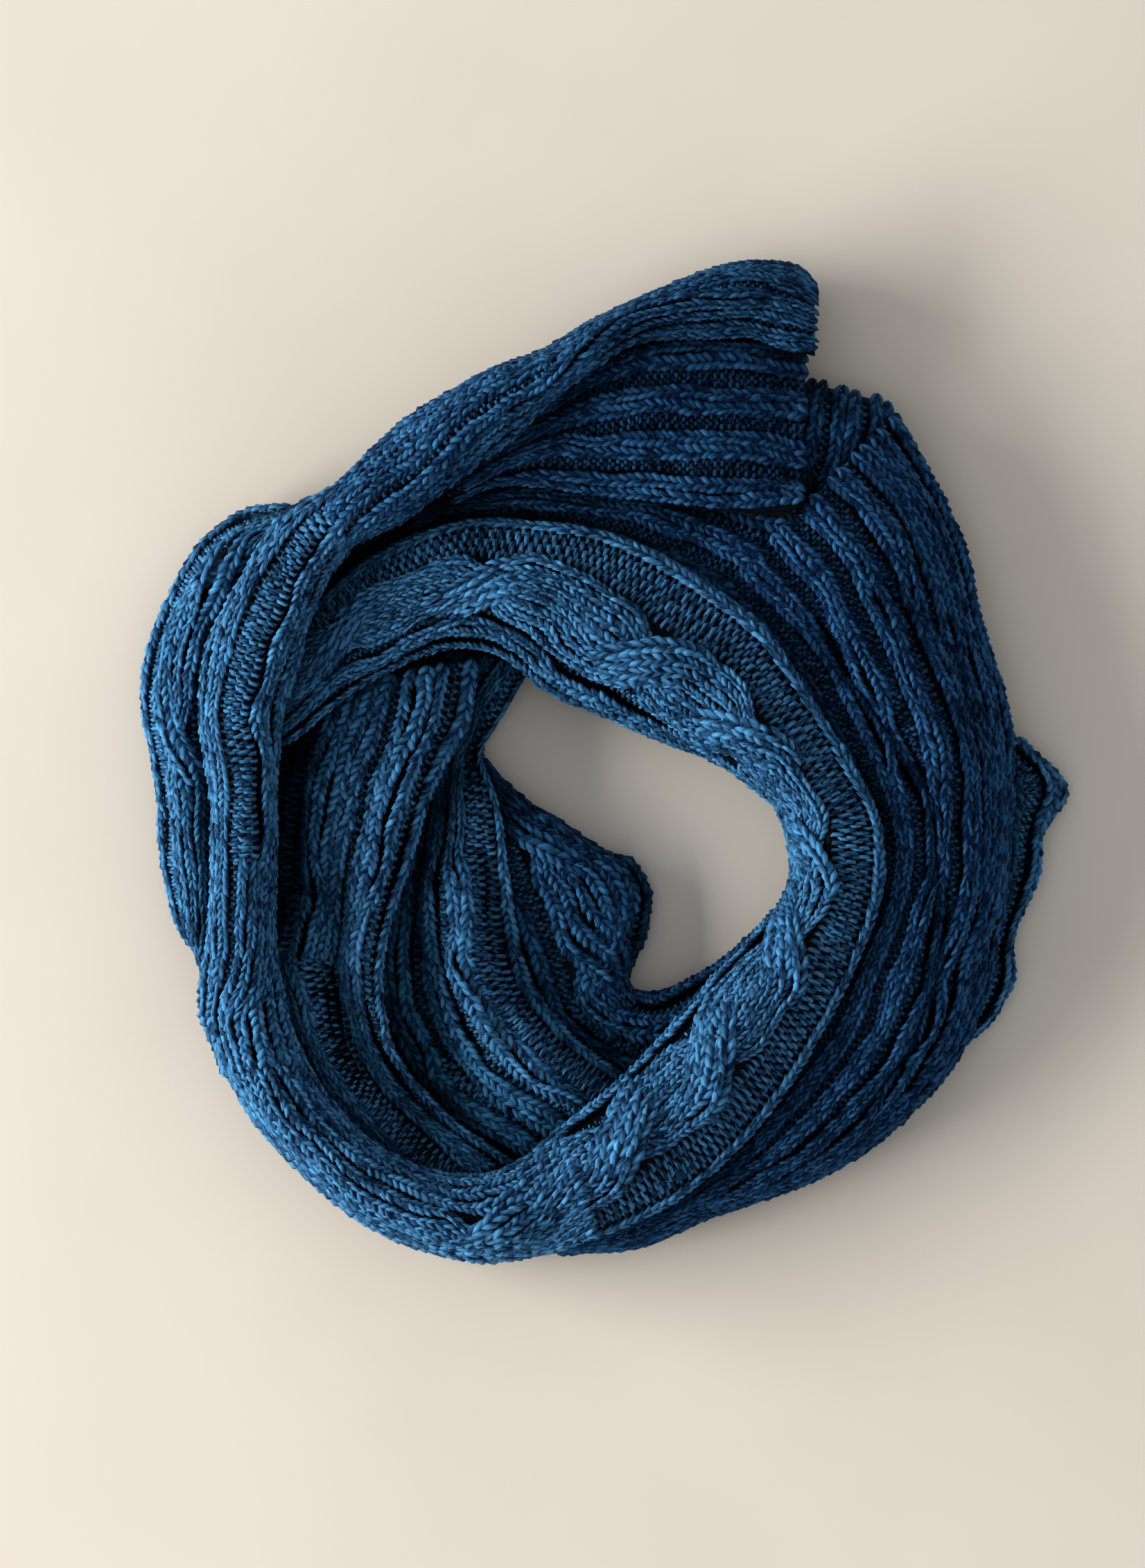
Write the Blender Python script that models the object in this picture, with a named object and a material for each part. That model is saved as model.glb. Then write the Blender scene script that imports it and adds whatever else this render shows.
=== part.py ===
"""A chunky cable-and-rib knit scarf, laid down in a loose coil on a flat surface.

Every stretch of the coil that shows is a wall of knit cloth of its own: a row of sections runs
along it, each from the outer edge of the stretch to its inner edge. Ribs and cables stand up from
the outer side of the wall and its inside is plain. The layers that nobody sees share one rounded
ring with a flat underside. Lengths in the tables are in millimetres, and the meshes are in metres.
The origin is on the surface that the scarf lies on, at the middle of its outline.
"""

import math

import bpy
import numpy as np
from mathutils import Vector
from mathutils.bvhtree import BVHTree

MM = 0.001
# The knit ground's thickness, the gap where two stretches meet end to end, and the least gap
# between one stretch and what it lies on.
WALL = 3.4
SEAM = 0.4
LAY_GAP = 0.8
# The step between sections along a stretch, and the power of the curve that rolls its edges.
ROW_STEP = 12.0
EDGE_ROLL = 2.6
# A deep fold has its whole depth in a stretch at least this wide.
FULL_FOLD_WIDTH = 50.0
# How a stretch settles: the height from which it looks down, the radius that it looks over,
# the smoothing of its lift, and the steps by which it moves off anything that it touches.
SKY = 200.0
LOOK_ROUND = 4.2
LIFT_SMOOTHINGS = 5
SHIFT = 0.5
MOST_SHIFTS = 30

# Height in millimetres of the middle of each kind of column over the plain wall, and how far
# the whole wall dips there: K is a knit rib, P a sunken purl ladder, C a cable, G a deep fold.
RELIEF = {"K": 2.4, "P": -0.9, "C": 3.2, "G": -0.6}
DIP = {"K": 0.0, "P": 0.0, "C": 0.0, "G": 6.0}

# Colours of the wool: the marled blue that shows, and the shaded blue inside the coil.
YARN_BLUE = (0.055, 0.150, 0.290, 1.0)
HIDDEN_BLUE = (0.030, 0.085, 0.180, 1.0)

# Every table of sections has the columns
# outer x, outer y, inner x, inner y, height at the outer edge, at the crest, at the inner edge.

TAIL = [
    (152, 5, 136, 12, 1, 9, 9),
    (169, -10, 136, -8, 1, 10, 10),
    (161, -26, 138, -25, 1, 10, 10),
    (159, -39, 138, -39, 1, 10, 10),
    (152, -57, 136, -53, 1, 10, 10),
    (149, -68, 134, -65, 1, 10, 10),
    (150, -78, 131, -75, 1, 10, 10),
    (142, -93, 126, -88, 1, 10, 9),
    (133, -101, 120, -98, 1, 8, 8),
]

CORNER = [
    (-58, -6, -41, 1, 10, 11, 2),
    (-52, -20, -32, -9, 12, 14, 2),
    (-47, -36, -17, -20, 15, 17, 2),
    (-43, -50, 0, -33, 15, 18, 2),
    (-39, -65, 18, -42, 15, 18, 2),
    (-33, -80, 16, -60, 15, 18, 2),
    (-24, -93, 10, -75, 15, 18, 2),
    (-8, -108, 12, -82, 16, 18, 2),
]

INNER_RIGHT = [
    (-8, -108, 12, -82, 16, 18, 2),
    (12, -116, 20, -83, 17, 19, 2),
    (30, -108, 32, -78, 18, 20, 2),
    (46, -93, 44, -70, 18, 20, 2),
    (59, -78, 55, -61, 18, 19, 2),
    (70, -63, 64, -53, 16, 17, 2),
]

INNER_LOWER = [
    (-58, 40, -24, 35, 20, 20, 8),
    (-65, 19, -34, 18, 21, 22, 9),
    (-68, 3, -42, 2, 22, 23, 14),
    (-72, -13, -37, -17, 22, 24, 19),
    (-78, -33, -34, -38, 22, 26, 22),
    (-83, -55, -31, -59, 22, 27, 22),
    (-85, -75, -26, -78, 22, 28, 23),
    (-82, -94, -17, -92, 22, 28, 23),
    (-72, -113, -5, -104, 22, 28, 23),
    (-53, -130, 8, -113, 22, 27, 23),
    (-32, -143, 21, -123, 20, 23, 23),
]

INNER_LEFT = [
    (-108, 24, -45, 37, 26, 27, 25),
    (-117, 8, -48, 16, 26, 30, 26),
    (-121, -8, -57, -3, 26, 33, 28),
    (-122, -23, -64, -20, 26, 34, 29),
    (-123, -38, -70, -38, 26, 34, 30),
    (-122, -53, -75, -55, 26, 34, 31),
    (-122, -68, -79, -73, 26, 34, 31),
    (-119, -83, -79, -89, 26, 34, 31),
    (-114, -98, -75, -104, 26, 34, 31),
    (-107, -112, -67, -117, 26, 33, 31),
    (-94, -130, -54, -130, 25, 31, 29),
    (-76, -152, -34, -144, 22, 27, 26),
]

TURNED_TRIANGLE = [
    (70, 138, 105, 129, 5, 9, 6),
    (66, 126, 103, 120, 22, 24, 14),
    (65, 110, 98, 105, 25, 27, 20),
    (65, 95, 91, 91, 26, 27, 25),
    (65, 83, 80, 81, 25, 26, 25),
]

TOP_OUTER = [
    (-68, 100, -70, 76, 28, 31, 27),
    (-45, 110, -45, 81, 29, 33, 28),
    (-18, 112, -23, 81, 30, 34, 28),
    (12, 109, -2, 77, 30, 35, 29),
    (45, 104, 18, 68, 30, 35, 30),
    (74, 94, 37, 57, 30, 36, 31),
]

RIGHT_OUTER = [
    (107, 127, 37, 57, 14, 38, 31),
    (121, 102, 52, 42, 9, 40, 31),
    (131, 79, 64, 28, 9, 40, 31),
    (136, 57, 73, 14, 9, 40, 31),
    (143, 34, 83, -4, 9, 40, 31),
    (148, 9, 91, -20, 11, 40, 31),
    (148, -18, 95, -38, 14, 40, 31),
    (146, -45, 92, -53, 14, 40, 31),
    (142, -73, 83, -73, 14, 39, 31),
    (133, -100, 73, -93, 10, 38, 31),
    (117, -122, 62, -112, 9, 37, 31),
    (98, -140, 47, -132, 9, 35, 31),
    (72, -153, 30, -148, 9, 32, 30),
    (45, -162, 11, -160, 9, 28, 28),
    (17, -175, -9, -168, 9, 22, 24),
    (-9, -177, -22, -173, 8, 16, 18),
]

TOP_INNER = [
    (90, 2, 47, -4, 35, 48, 9),
    (76, 24, 32, 4, 35, 48, 9),
    (60, 48, 14, 10, 35, 48, 9),
    (42, 63, -3, 17, 35, 48, 9),
    (22, 76, -20, 25, 35, 48, 10),
    (0, 84, -36, 36, 35, 47, 22),
    (-23, 88, -51, 40, 35, 46, 28),
    (-45, 89, -65, 38, 35, 45, 28),
    (-67, 83, -78, 31, 35, 43, 28),
    (-87, 73, -94, 21, 35, 41, 28),
    (-102, 59, -110, 8, 35, 39, 28),
    (-114, 42, -121, 1, 33, 35, 28),
]

RIGHT_INNER = [
    (-5, -174, -17, -133, 25, 49, 26),
    (16, -165, -1, -120, 34, 50, 26),
    (35, -153, 12, -108, 34, 50, 26),
    (53, -137, 26, -93, 34, 50, 26),
    (69, -115, 39, -77, 34, 50, 26),
    (84, -90, 53, -63, 34, 50, 20),
    (96, -65, 63, -52, 34, 49, 10),
    (102, -43, 67, -35, 34, 49, 9),
    (100, -20, 62, -16, 34, 49, 9),
    (90, 2, 47, -4, 34, 48, 9),
]

LEFT_OUTER = [
    (-108, 94, -98, 77, 20, 33, 35),
    (-130, 90, -113, 67, 8, 37, 36),
    (-147, 78, -125, 54, 8, 39, 36),
    (-158, 59, -133, 43, 8, 39, 36),
    (-165, 39, -137, 28, 8, 39, 36),
    (-167, 19, -137, 14, 8, 38, 35),
    (-164, 1, -135, 1, 8, 37, 34),
    (-161, -18, -134, -17, 8, 36, 33),
    (-160, -38, -134, -35, 8, 35, 32),
    (-156, -57, -134, -55, 8, 34, 31),
    (-148, -72, -135, -74, 8, 31, 30),
    (-146, -83, -137, -88, 8, 26, 26),
]

LEFT_INNER = [
    (-98, 99, -93, 74, 24, 60, 38),
    (-118, 86, -99, 66, 37, 60, 38),
    (-133, 63, -105, 51, 37, 59, 38),
    (-143, 43, -109, 36, 37, 58, 38),
    (-146, 23, -115, 18, 37, 57, 38),
    (-145, 4, -117, 3, 37, 56, 30),
    (-142, -15, -118, -15, 37, 55, 30),
    (-142, -35, -118, -35, 37, 54, 30),
    (-143, -57, -118, -57, 37, 54, 30),
    (-145, -77, -117, -74, 32, 53, 30),
    (-144, -94, -114, -89, 14, 52, 30),
    (-139, -110, -109, -103, 9, 52, 30),
]

BOTTOM = [
    (-139, -110, -109, -103, 9, 52, 30),
    (-127, -130, -100, -119, 9, 51, 30),
    (-109, -149, -88, -133, 9, 51, 30),
    (-90, -166, -74, -142, 9, 50, 30),
    (-68, -176, -58, -148, 9, 50, 30),
    (-43, -181, -43, -148, 9, 49, 30),
    (-22, -179, -29, -142, 10, 49, 30),
    (-5, -174, -17, -133, 25, 49, 26),
]

END_FLAP = [
    (73, 154, 71, 89, 27, 34, 36),
    (60, 155, 60, 88, 28, 38, 37),
    (45, 155, 45, 88, 30, 42, 37),
    (29, 155, 28, 89, 32, 44, 37),
    (14, 153, 11, 91, 34, 44, 37),
    (-1, 147, -8, 94, 36, 44, 37),
    (-13, 139, -25, 97, 37, 44, 37),
    (-27, 127, -40, 97, 38, 44, 37),
    (-39, 116, -53, 92, 38, 42, 37),
]

ROLLED_ROPE = [
    (76, 174, 76, 150, 12, 38, 32),
    (68, 180, 67, 150, 12, 44, 34),
    (53, 181, 53, 150, 13, 48, 35),
    (37, 178, 39, 150, 15, 52, 37),
    (22, 172, 24, 150, 17, 56, 40),
    (7, 165, 8, 148, 19, 60, 42),
    (-6, 158, -6, 139, 20, 61, 42),
    (-22, 149, -19, 129, 21, 62, 42),
    (-39, 143, -32, 116, 22, 63, 42),
    (-55, 134, -45, 106, 23, 63, 42),
    (-70, 125, -58, 95, 23, 63, 42),
    (-83, 114, -72, 85, 23, 62, 42),
    (-92, 105, -84, 79, 24, 61, 42),
    (-98, 99, -93, 74, 24, 60, 38),
]

# The columns of stitches across each stretch run from its outer edge to its inner edge, each
# kind with its number of wales. The stretches run from the bottom of the coil to its top: one
# lies on all those before it, apart from the ones that it is knitted on to, end to end.
# Columns: name, sections, wales, stretches that it runs on from.
STRETCHES = [
    ("tail_edge_layer", TAIL, "K1 P2 K2 P2", ()),
    ("hole_corner_stretch", CORNER, "P2 K2 P2 C4 P1 K1", ()),
    ("inner_right_stretch", INNER_RIGHT, "K2 P1 K2 P1 K1", ("hole_corner_stretch",)),
    ("inner_lower_stretch", INNER_LOWER, "P2 K2 P2 K2 P2 K2 P1", ()),
    ("inner_left_stretch", INNER_LEFT, "P3 K2 P1 K4 P1 K2", ()),
    ("turned_triangle", TURNED_TRIANGLE, "P1 K2 P1 K2 P1 K2", ()),
    ("top_outer_stretch", TOP_OUTER, "P1 K2 P1 K2 P2", ()),
    ("right_outer_stretch", RIGHT_OUTER, "K1 P1 C4 K1 G1 K2 P1 K2 P2", ("top_outer_stretch",)),
    ("top_inner_stretch", TOP_INNER, "K2 P3 C6 P1 K2 P1 K2", ()),
    ("right_inner_stretch", RIGHT_INNER, "K2 P3 C6 P1 K2", ("top_inner_stretch",)),
    ("left_outer_stretch", LEFT_OUTER, "K1 P2 K3 P1", ()),
    ("left_inner_stretch", LEFT_INNER, "K2 P4 K2", ()),
    ("bottom_stretch", BOTTOM, "K2 P2 C6 P1 K1", ("left_inner_stretch", "right_inner_stretch")),
    ("end_flap", END_FLAP, "P2 K2 P1 K2 P2 K2 P1 K2", ()),
    ("rolled_rope_stretch", ROLLED_ROPE, "P1 K3 G1 K2", ("left_inner_stretch",)),
]

# The ring of hidden layers, clockwise from the top. Columns: outer x, outer y, inner x, inner y.
HIDDEN_RING = [
    (42, 174, -1, 19),
    (66, 170, 12, 14),
    (68, 134, 28, 7),
    (94, 117, 44, 0),
    (118, 96, 56, -10),
    (131, 66, 68, -18),
    (135, 38, 74, -28),
    (133, 10, 74, -38),
    (132, -20, 72, -48),
    (130, -50, 66, -60),
    (120, -82, 54, -74),
    (102, -124, 38, -88),
    (74, -148, 24, -95),
    (42, -158, 10, -95),
    (0, -171, 0, -88),
    (-42, -177, -3, -76),
    (-82, -167, 1, -56),
    (-118, -135, -8, -42),
    (-136, -106, -22, -30),
    (-140, -72, -35, -18),
    (-154, -37, -46, -6),
    (-156, -7, -52, 4),
    (-161, 21, -48, 14),
    (-152, 56, -40, 24),
    (-135, 82, -32, 32),
    (-102, 92, -24, 34),
    (-76, 116, -18, 30),
    (-42, 135, -12, 27),
    (-7, 151, -8, 24),
    (20, 164, -5, 22),
]
HIDDEN_RING_ROWS = 48
HIDDEN_TOP_POINTS = 8
HIDDEN_LAYER = 5.0
HIDDEN_CLEARANCE = 1.6
ROOM_RADII = (0.0, 5.0, 10.0)
MOST_ROOM = 40.0


def smooth_rows(rows, count, trim=0.0):
    """Rows of numbers at even steps along a smooth curve through the given rows."""
    rows = np.array(rows, float)
    padded = np.vstack([2 * rows[0] - rows[1], rows, 2 * rows[-1] - rows[-2]])
    out = []
    for place in np.linspace(0, len(rows) - 1 - trim, count):
        first = min(int(place), len(rows) - 2)
        f = place - first
        a, b, c, d = padded[first : first + 4]
        bend = (2 * a - 5 * b + 4 * c - d) * f**2 + (3 * b - a - 3 * c + d) * f**3
        out.append(0.5 * (2 * b + (c - a) * f + bend))
    return np.array(out)


def centre_length(rows):
    """The length in millimetres down the middle of a stretch."""
    rows = np.array(rows, float)
    middle = (rows[:, 0:2] + rows[:, 2:4]) / 2
    return np.linalg.norm(np.diff(middle, axis=0), axis=1)


def columns_across(wales):
    """Places across a stretch, from 0 to 1, each with its rib height and its dip."""
    groups = [(text[0], int(text[1:])) for text in wales.split()]
    total = sum(count for kind, count in groups)
    edge = min(0.03, 0.25 / total)
    columns = [(0.0, 0.0, 0.0), (edge, 0.2, 0.0)]
    start = 0
    for kind, count in groups:
        lines = 2 if count >= 4 else 1
        for line in range(lines):
            place = (start + count * (line + 0.5) / lines) / total
            columns.append((place, RELIEF[kind], DIP[kind]))
        start += count
    columns += [(1 - edge, 0.2, 0.0), (1.0, 0.0, 0.0)]
    return np.array(columns).T


def ground_height(x, y, trees):
    """The highest cloth under a place and close round it, in millimetres."""
    best = 0.0
    turns = np.arange(8) * math.pi / 4
    around = [(0.0, 0.0)] + [(LOOK_ROUND * math.cos(t), LOOK_ROUND * math.sin(t)) for t in turns]
    for tree in trees:
        for dx, dy in around:
            start = Vector(((x + dx) * MM, (y + dy) * MM, SKY * MM))
            hit = tree.ray_cast(start, Vector((0, 0, -1)))[0]
            if hit is not None:
                best = max(best, hit.z / MM)
    return best


def lift_over(inside, trees):
    """How far a grid of a wall's inside points must rise to clear the cloth that it lies on."""
    lift = np.zeros(inside.shape[:2])
    if not trees:
        return lift
    ground = np.array([[ground_height(p[0], p[1], trees) for p in row] for row in inside])
    least = np.where(ground > 0, ground + LAY_GAP - inside[:, :, 2], 0)
    lift = np.maximum(least, 0)
    for _ in range(LIFT_SMOOTHINGS):
        wide = np.pad(lift, 1, mode="edge")
        around = wide[:-2, 1:-1] + wide[2:, 1:-1] + wide[1:-1, :-2] + wide[1:-1, 2:]
        lift = np.maximum((around + 2 * lift) / 6, least)
    return np.maximum(lift, 0)


def section_points(rows, v, outer_z, crest_z, inner_z):
    """A grid of points: across each row at v, arched between the heights of its three columns."""
    outer, inner = rows[:, None, 0:2], rows[:, None, 2:4]
    plan = outer + (inner - outer) * v[:, :, None]
    side = np.abs(2 * v - 1)
    full = (1 - side**EDGE_ROLL) ** (1 / EDGE_ROLL)
    edge = np.where(v < 0.5, outer_z[:, None], inner_z[:, None])
    return np.dstack([plan, edge + (crest_z[:, None] - edge) * full])


def raise_ribs(grid, rows, ribs):
    """Moves a grid's points out of the cloth by the height of its ribs, each in its own section."""
    across = rows[:, 2:4] - rows[:, 0:2]
    across /= np.linalg.norm(across, axis=1, keepdims=True)
    along_row = ((grid[:, :, 0:2] - grid[:, :1, 0:2]) * across[:, None, :]).sum(2)
    run = np.gradient(along_row, axis=1)
    rise = np.gradient(grid[:, :, 2], axis=1)
    size = np.maximum(np.hypot(run, rise), 1e-9)
    out = grid.copy()
    out[:, :, 0:2] -= across[:, None, :] * (rise / size * ribs)[:, :, None]
    out[:, :, 2] += run / size * ribs
    return out


def grid_wall(outer, inner):
    """The points and faces of a closed wall between two grids of points."""
    rows, columns = outer.shape[:2]
    points = np.concatenate([outer.reshape(-1, 3), inner.reshape(-1, 3)])
    count = rows * columns
    faces = []
    for i in range(rows - 1):
        for j in range(columns - 1):
            a = i * columns + j
            b, c, d = a + columns, a + columns + 1, a + 1
            faces += [[a, b, c], [a, c, d]]
            faces += [[count + c, count + b, count + a], [count + d, count + c, count + a]]
    rim = [j for j in range(columns)]
    rim += [i * columns + columns - 1 for i in range(1, rows)]
    rim += [(rows - 1) * columns + j for j in range(columns - 2, -1, -1)]
    rim += [i * columns for i in range(rows - 2, 0, -1)]
    for a, b in zip(rim, rim[1:] + rim[:1]):
        faces += [[a, b, count + b], [a, count + b, count + a]]
    middle = outer[rows // 2 : rows // 2 + 2, columns // 2 : columns // 2 + 2]
    upward = np.cross(middle[1, 0] - middle[0, 0], middle[0, 1] - middle[0, 0])[2] > 0
    if not upward:
        faces = [face[::-1] for face in faces]
    return points, faces


def add_body(name, points, faces, material, collection):
    """A mesh object in the scarf's collection, from points in millimetres."""
    mesh = bpy.data.meshes.new(name)
    mesh.from_pydata((np.array(points) * MM).tolist(), [], faces)
    mesh.materials.append(material)
    mesh.shade_smooth()
    mesh.update()
    body = bpy.data.objects.new(name, mesh)
    collection.objects.link(body)
    return body


def yarn_material(name, colour):
    """Matt wool of one colour."""
    material = bpy.data.materials.new(name)
    material.use_nodes = True
    shader = material.node_tree.nodes["Principled BSDF"]
    shader.inputs["Base Color"].default_value = colour
    shader.inputs["Roughness"].default_value = 0.95
    shader.inputs["Metallic"].default_value = 0.0
    material.diffuse_color = colour
    return material


def stretch_walls(sections, wales, trees):
    """The outer and inner points of a stretch, a grid of each, laid on the cloth below it."""
    steps = centre_length(sections)
    count = max(4, round(steps.sum() / ROW_STEP) + 1)
    rows = smooth_rows(sections, count, SEAM / steps[-1])
    width = np.linalg.norm(rows[:, 2:4] - rows[:, 0:2], axis=1)
    place, ribs, dips = columns_across(wales)
    v = np.repeat(place[None, :], count, axis=0)
    outer_z, crest_z, inner_z = rows[:, 4], rows[:, 5], rows[:, 6]
    # An edge that rolls down stands on its rim, and a flat one has its thickness under it.
    outer_roll = np.clip((crest_z - outer_z) / (3 * WALL), 0, 1)
    inner_roll = np.clip((crest_z - inner_z) / (3 * WALL), 0, 1)
    start, stop = WALL * outer_roll / width, 1 - WALL * inner_roll / width
    base = section_points(rows, v, outer_z, crest_z, inner_z)
    narrow = rows.copy()
    narrow[:, 0:2] += (rows[:, 2:4] - rows[:, 0:2]) * start[:, None]
    narrow[:, 2:4] += (rows[:, 0:2] - rows[:, 2:4]) * (1 - stop)[:, None]
    outer_floor = outer_z - WALL * (1 - outer_roll)
    inner_floor = inner_z - WALL * (1 - inner_roll)
    inside = section_points(narrow, v, outer_floor, crest_z - WALL, inner_floor)
    spread = np.clip(width / FULL_FOLD_WIDTH, 0.3, 1)[:, None]
    dip = np.clip(2 * spread - 1, 0, 1) * dips[None, :]
    inside[:, :, 2] -= dip
    base[:, :, 2] -= dip
    lift = lift_over(inside, trees)
    inside[:, :, 2] += lift
    base[:, :, 2] += lift
    outside = raise_ribs(base, rows, np.minimum(1, 1.6 * spread) * ribs[None, :])
    outside[:, :, 2] = np.maximum(outside[:, :, 2], 0.0)
    inside[:, :, 2] = np.maximum(inside[:, :, 2], 0.0)
    return outside, inside


def build_stretch(name, sections, wales, trees, collection):
    """One stretch of the coil as a closed wall with raised ribs and a plain inside."""
    outside, inside = stretch_walls(sections, wales, trees)
    points, faces = grid_wall(outside, inside)
    for _ in range(MOST_SHIFTS):
        mine = BVHTree.FromPolygons((points * MM).tolist(), faces)
        touched = {pair[0] for tree in trees for pair in mine.overlap(tree)}
        if not touched:
            break
        half = len(points) // 2
        moved = sorted({index % half for face in touched for index in faces[face]})
        points[moved, 2] += SHIFT
        points[[index + half for index in moved], 2] += SHIFT
    material = yarn_material(f"{name}_wool", YARN_BLUE)
    return add_body(name, points, faces, material, collection)


def tree_of(body):
    """A search tree of a body's faces."""
    mesh = body.data
    return BVHTree.FromPolygons(
        [v.co for v in mesh.vertices], [tuple(p.vertices) for p in mesh.polygons]
    )


def room_under(x, y, trees, most):
    """The lowest cloth over a place and close round it, in millimetres."""
    best = most
    for tree in trees:
        for radius in ROOM_RADII:
            for turn in np.arange(8) * math.pi / 4:
                place = (x + radius * math.cos(turn), y + radius * math.sin(turn))
                start = Vector((place[0] * MM, place[1] * MM, 0.00005))
                hit = tree.ray_cast(start, Vector((0, 0, 1)))[0]
                if hit is not None:
                    best = min(best, hit.z / MM)
    return best


def build_hidden_layers(trees, collection):
    """The layers inside the coil: a rounded ring, with the folds of its layers at both sides."""
    table = HIDDEN_RING + HIDDEN_RING[:1]
    rows = smooth_rows(table, HIDDEN_RING_ROWS + 1)[:-1]
    loops = []
    for x0, y0, x1, y1 in rows:
        outer, inner = np.array([x0, y0]), np.array([x1, y1])
        along = (inner - outer) / np.linalg.norm(inner - outer)
        top = []
        for v in np.linspace(0.06, 0.94, HIDDEN_TOP_POINTS):
            x, y = outer + (inner - outer) * v
            room = room_under(x, y, trees, MOST_ROOM) - HIDDEN_CLEARANCE
            top.append((x, y, max(room, 1.0)))
        loop = [(*(outer + along * 2.0), 0.0)]
        loop.append((*outer, HIDDEN_LAYER * 0.5))
        loop.append((*(outer + along * 2.5), HIDDEN_LAYER))
        loop += top
        loop.append((*(inner - along * 2.5), HIDDEN_LAYER))
        loop.append((*inner, HIDDEN_LAYER * 0.5))
        loop.append((*(inner - along * 2.0), 0.0))
        loops.append(loop)
    size = len(loops[0])
    points = [point for loop in loops for point in loop]
    faces = []
    for i in range(len(loops)):
        j = (i + 1) % len(loops)
        for k in range(size):
            m = (k + 1) % size
            a, b, c, d = i * size + k, i * size + m, j * size + m, j * size + k
            faces += [[a, b, c], [a, c, d]]
    points = np.array(points)
    tops = {i * size + k for i in range(len(loops)) for k in range(3, 3 + HIDDEN_TOP_POINTS)}
    for _ in range(MOST_SHIFTS):
        mine = BVHTree.FromPolygons((points * MM).tolist(), faces)
        touched = {pair[0] for tree in trees for pair in mine.overlap(tree)}
        moved = sorted({index for face in touched for index in faces[face]} & tops)
        if not moved:
            break
        points[moved, 2] = np.maximum(points[moved, 2] - 2 * SHIFT, 1.0)
    points[sorted(tops), 2] = np.maximum(points[sorted(tops), 2] - SEAM, 0.8)
    material = yarn_material("hidden_layers_wool", HIDDEN_BLUE)
    return add_body("hidden_layers", points, faces, material, collection)


def main():
    """Lays the stretches down one on another, then fills the coil with its hidden layers."""
    for old in list(bpy.data.objects):
        bpy.data.objects.remove(old)
    collection = bpy.data.collections.new("cable_knit_scarf")
    bpy.context.scene.collection.children.link(collection)
    trees = {}
    for name, sections, wales, runs_on_from in STRETCHES:
        below = [tree for other, tree in trees.items() if other not in runs_on_from]
        body = build_stretch(name, sections, wales, below, collection)
        trees[name] = tree_of(body)
    build_hidden_layers(list(trees.values()), collection)


main()
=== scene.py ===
# %% [markdown]
# # A chunky cable knit scarf, laid down in a loose coil
#
# The real thing is one long strip of knitted wool: ribs, sunken purl ladders and wide cables run
# along it, and the strip is dropped in a coil so that fifteen stretches of it show. The packed
# model has each stretch as a plain solid wall. This notebook gives every stretch a thin knitted
# ground and then lays real stitches on it, one small mesh for each loop of yarn, so that the
# V of a knit stitch and the bump of a purl stitch are shapes and not only a pattern.

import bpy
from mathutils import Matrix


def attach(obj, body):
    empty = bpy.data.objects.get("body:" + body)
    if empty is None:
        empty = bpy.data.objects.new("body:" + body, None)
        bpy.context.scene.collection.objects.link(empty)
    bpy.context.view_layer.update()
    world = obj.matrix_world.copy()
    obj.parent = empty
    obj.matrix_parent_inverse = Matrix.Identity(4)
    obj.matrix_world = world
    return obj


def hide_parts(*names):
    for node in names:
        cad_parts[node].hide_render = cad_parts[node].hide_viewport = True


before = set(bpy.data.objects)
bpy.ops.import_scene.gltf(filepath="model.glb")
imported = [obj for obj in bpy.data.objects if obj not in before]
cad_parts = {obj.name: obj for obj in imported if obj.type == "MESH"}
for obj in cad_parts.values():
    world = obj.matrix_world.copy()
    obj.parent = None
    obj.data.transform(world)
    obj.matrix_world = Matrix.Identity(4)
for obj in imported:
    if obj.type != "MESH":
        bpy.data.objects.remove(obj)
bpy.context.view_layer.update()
print("packed nodes:", len(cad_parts))

# %% [markdown]
# ## Sizes
#
# A knitter counts wales across and rows along. Measured against the outline of the coil, a wale
# is about 4 mm wide and a row 2.9 mm high, which is what chunky yarn gives on 4.5 mm needles, and
# the cloth is 3.4 mm thick. The tables further down are in millimetres, and meshes are in metres,
# so one value turns the first into the second.

# %% Sizes of the knitting
import math

import bmesh
import bpy
import numpy as np
from mathutils import Vector
from mathutils.bvhtree import BVHTree

MM = 0.001
WALE = 4.0
ROW = 2.85
THICKNESS = 3.4
print("stitches to the square decimetre:", round(100 / WALE * 100 / ROW))

# %% [markdown]
# ## The lowest stretches
#
# The lowest layers of the strip show at the right edge of the coil, round its hole and in the
# broad bowl left of the hole. A cloth simulation could drop them there, but it would never fall
# in the same folds, so each stretch is given as a table of sections. The columns of a
# table are outer x, outer y, inner x, inner y, and the heights of the outer edge, of the crest
# and of the inner edge, all in millimetres.

# %% The lowest stretches
TAIL = [
    (152, 5, 136, 12, 1, 9, 9),
    (169, -10, 136, -8, 1, 10, 10),
    (161, -26, 138, -25, 1, 10, 10),
    (159, -39, 138, -39, 1, 10, 10),
    (152, -57, 136, -53, 1, 10, 10),
    (149, -68, 134, -65, 1, 10, 10),
    (150, -78, 131, -75, 1, 10, 10),
    (142, -93, 126, -88, 1, 10, 9),
    (133, -101, 120, -98, 1, 8, 8),
]
CORNER = [
    (-58, -6, -41, 1, 10, 11, 2),
    (-52, -20, -32, -9, 12, 14, 2),
    (-47, -36, -17, -20, 15, 17, 2),
    (-43, -50, 0, -32, 15, 18, 2),
    (-41, -58, 11, -36, 15, 18, 2),
    (-38, -68, 18, -47, 15, 18, 2),
    (-33, -80, 16, -61, 15, 18, 2),
    (-24, -93, 10, -75, 15, 18, 2),
    (-8, -108, 12, -82, 16, 18, 2),
]
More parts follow.
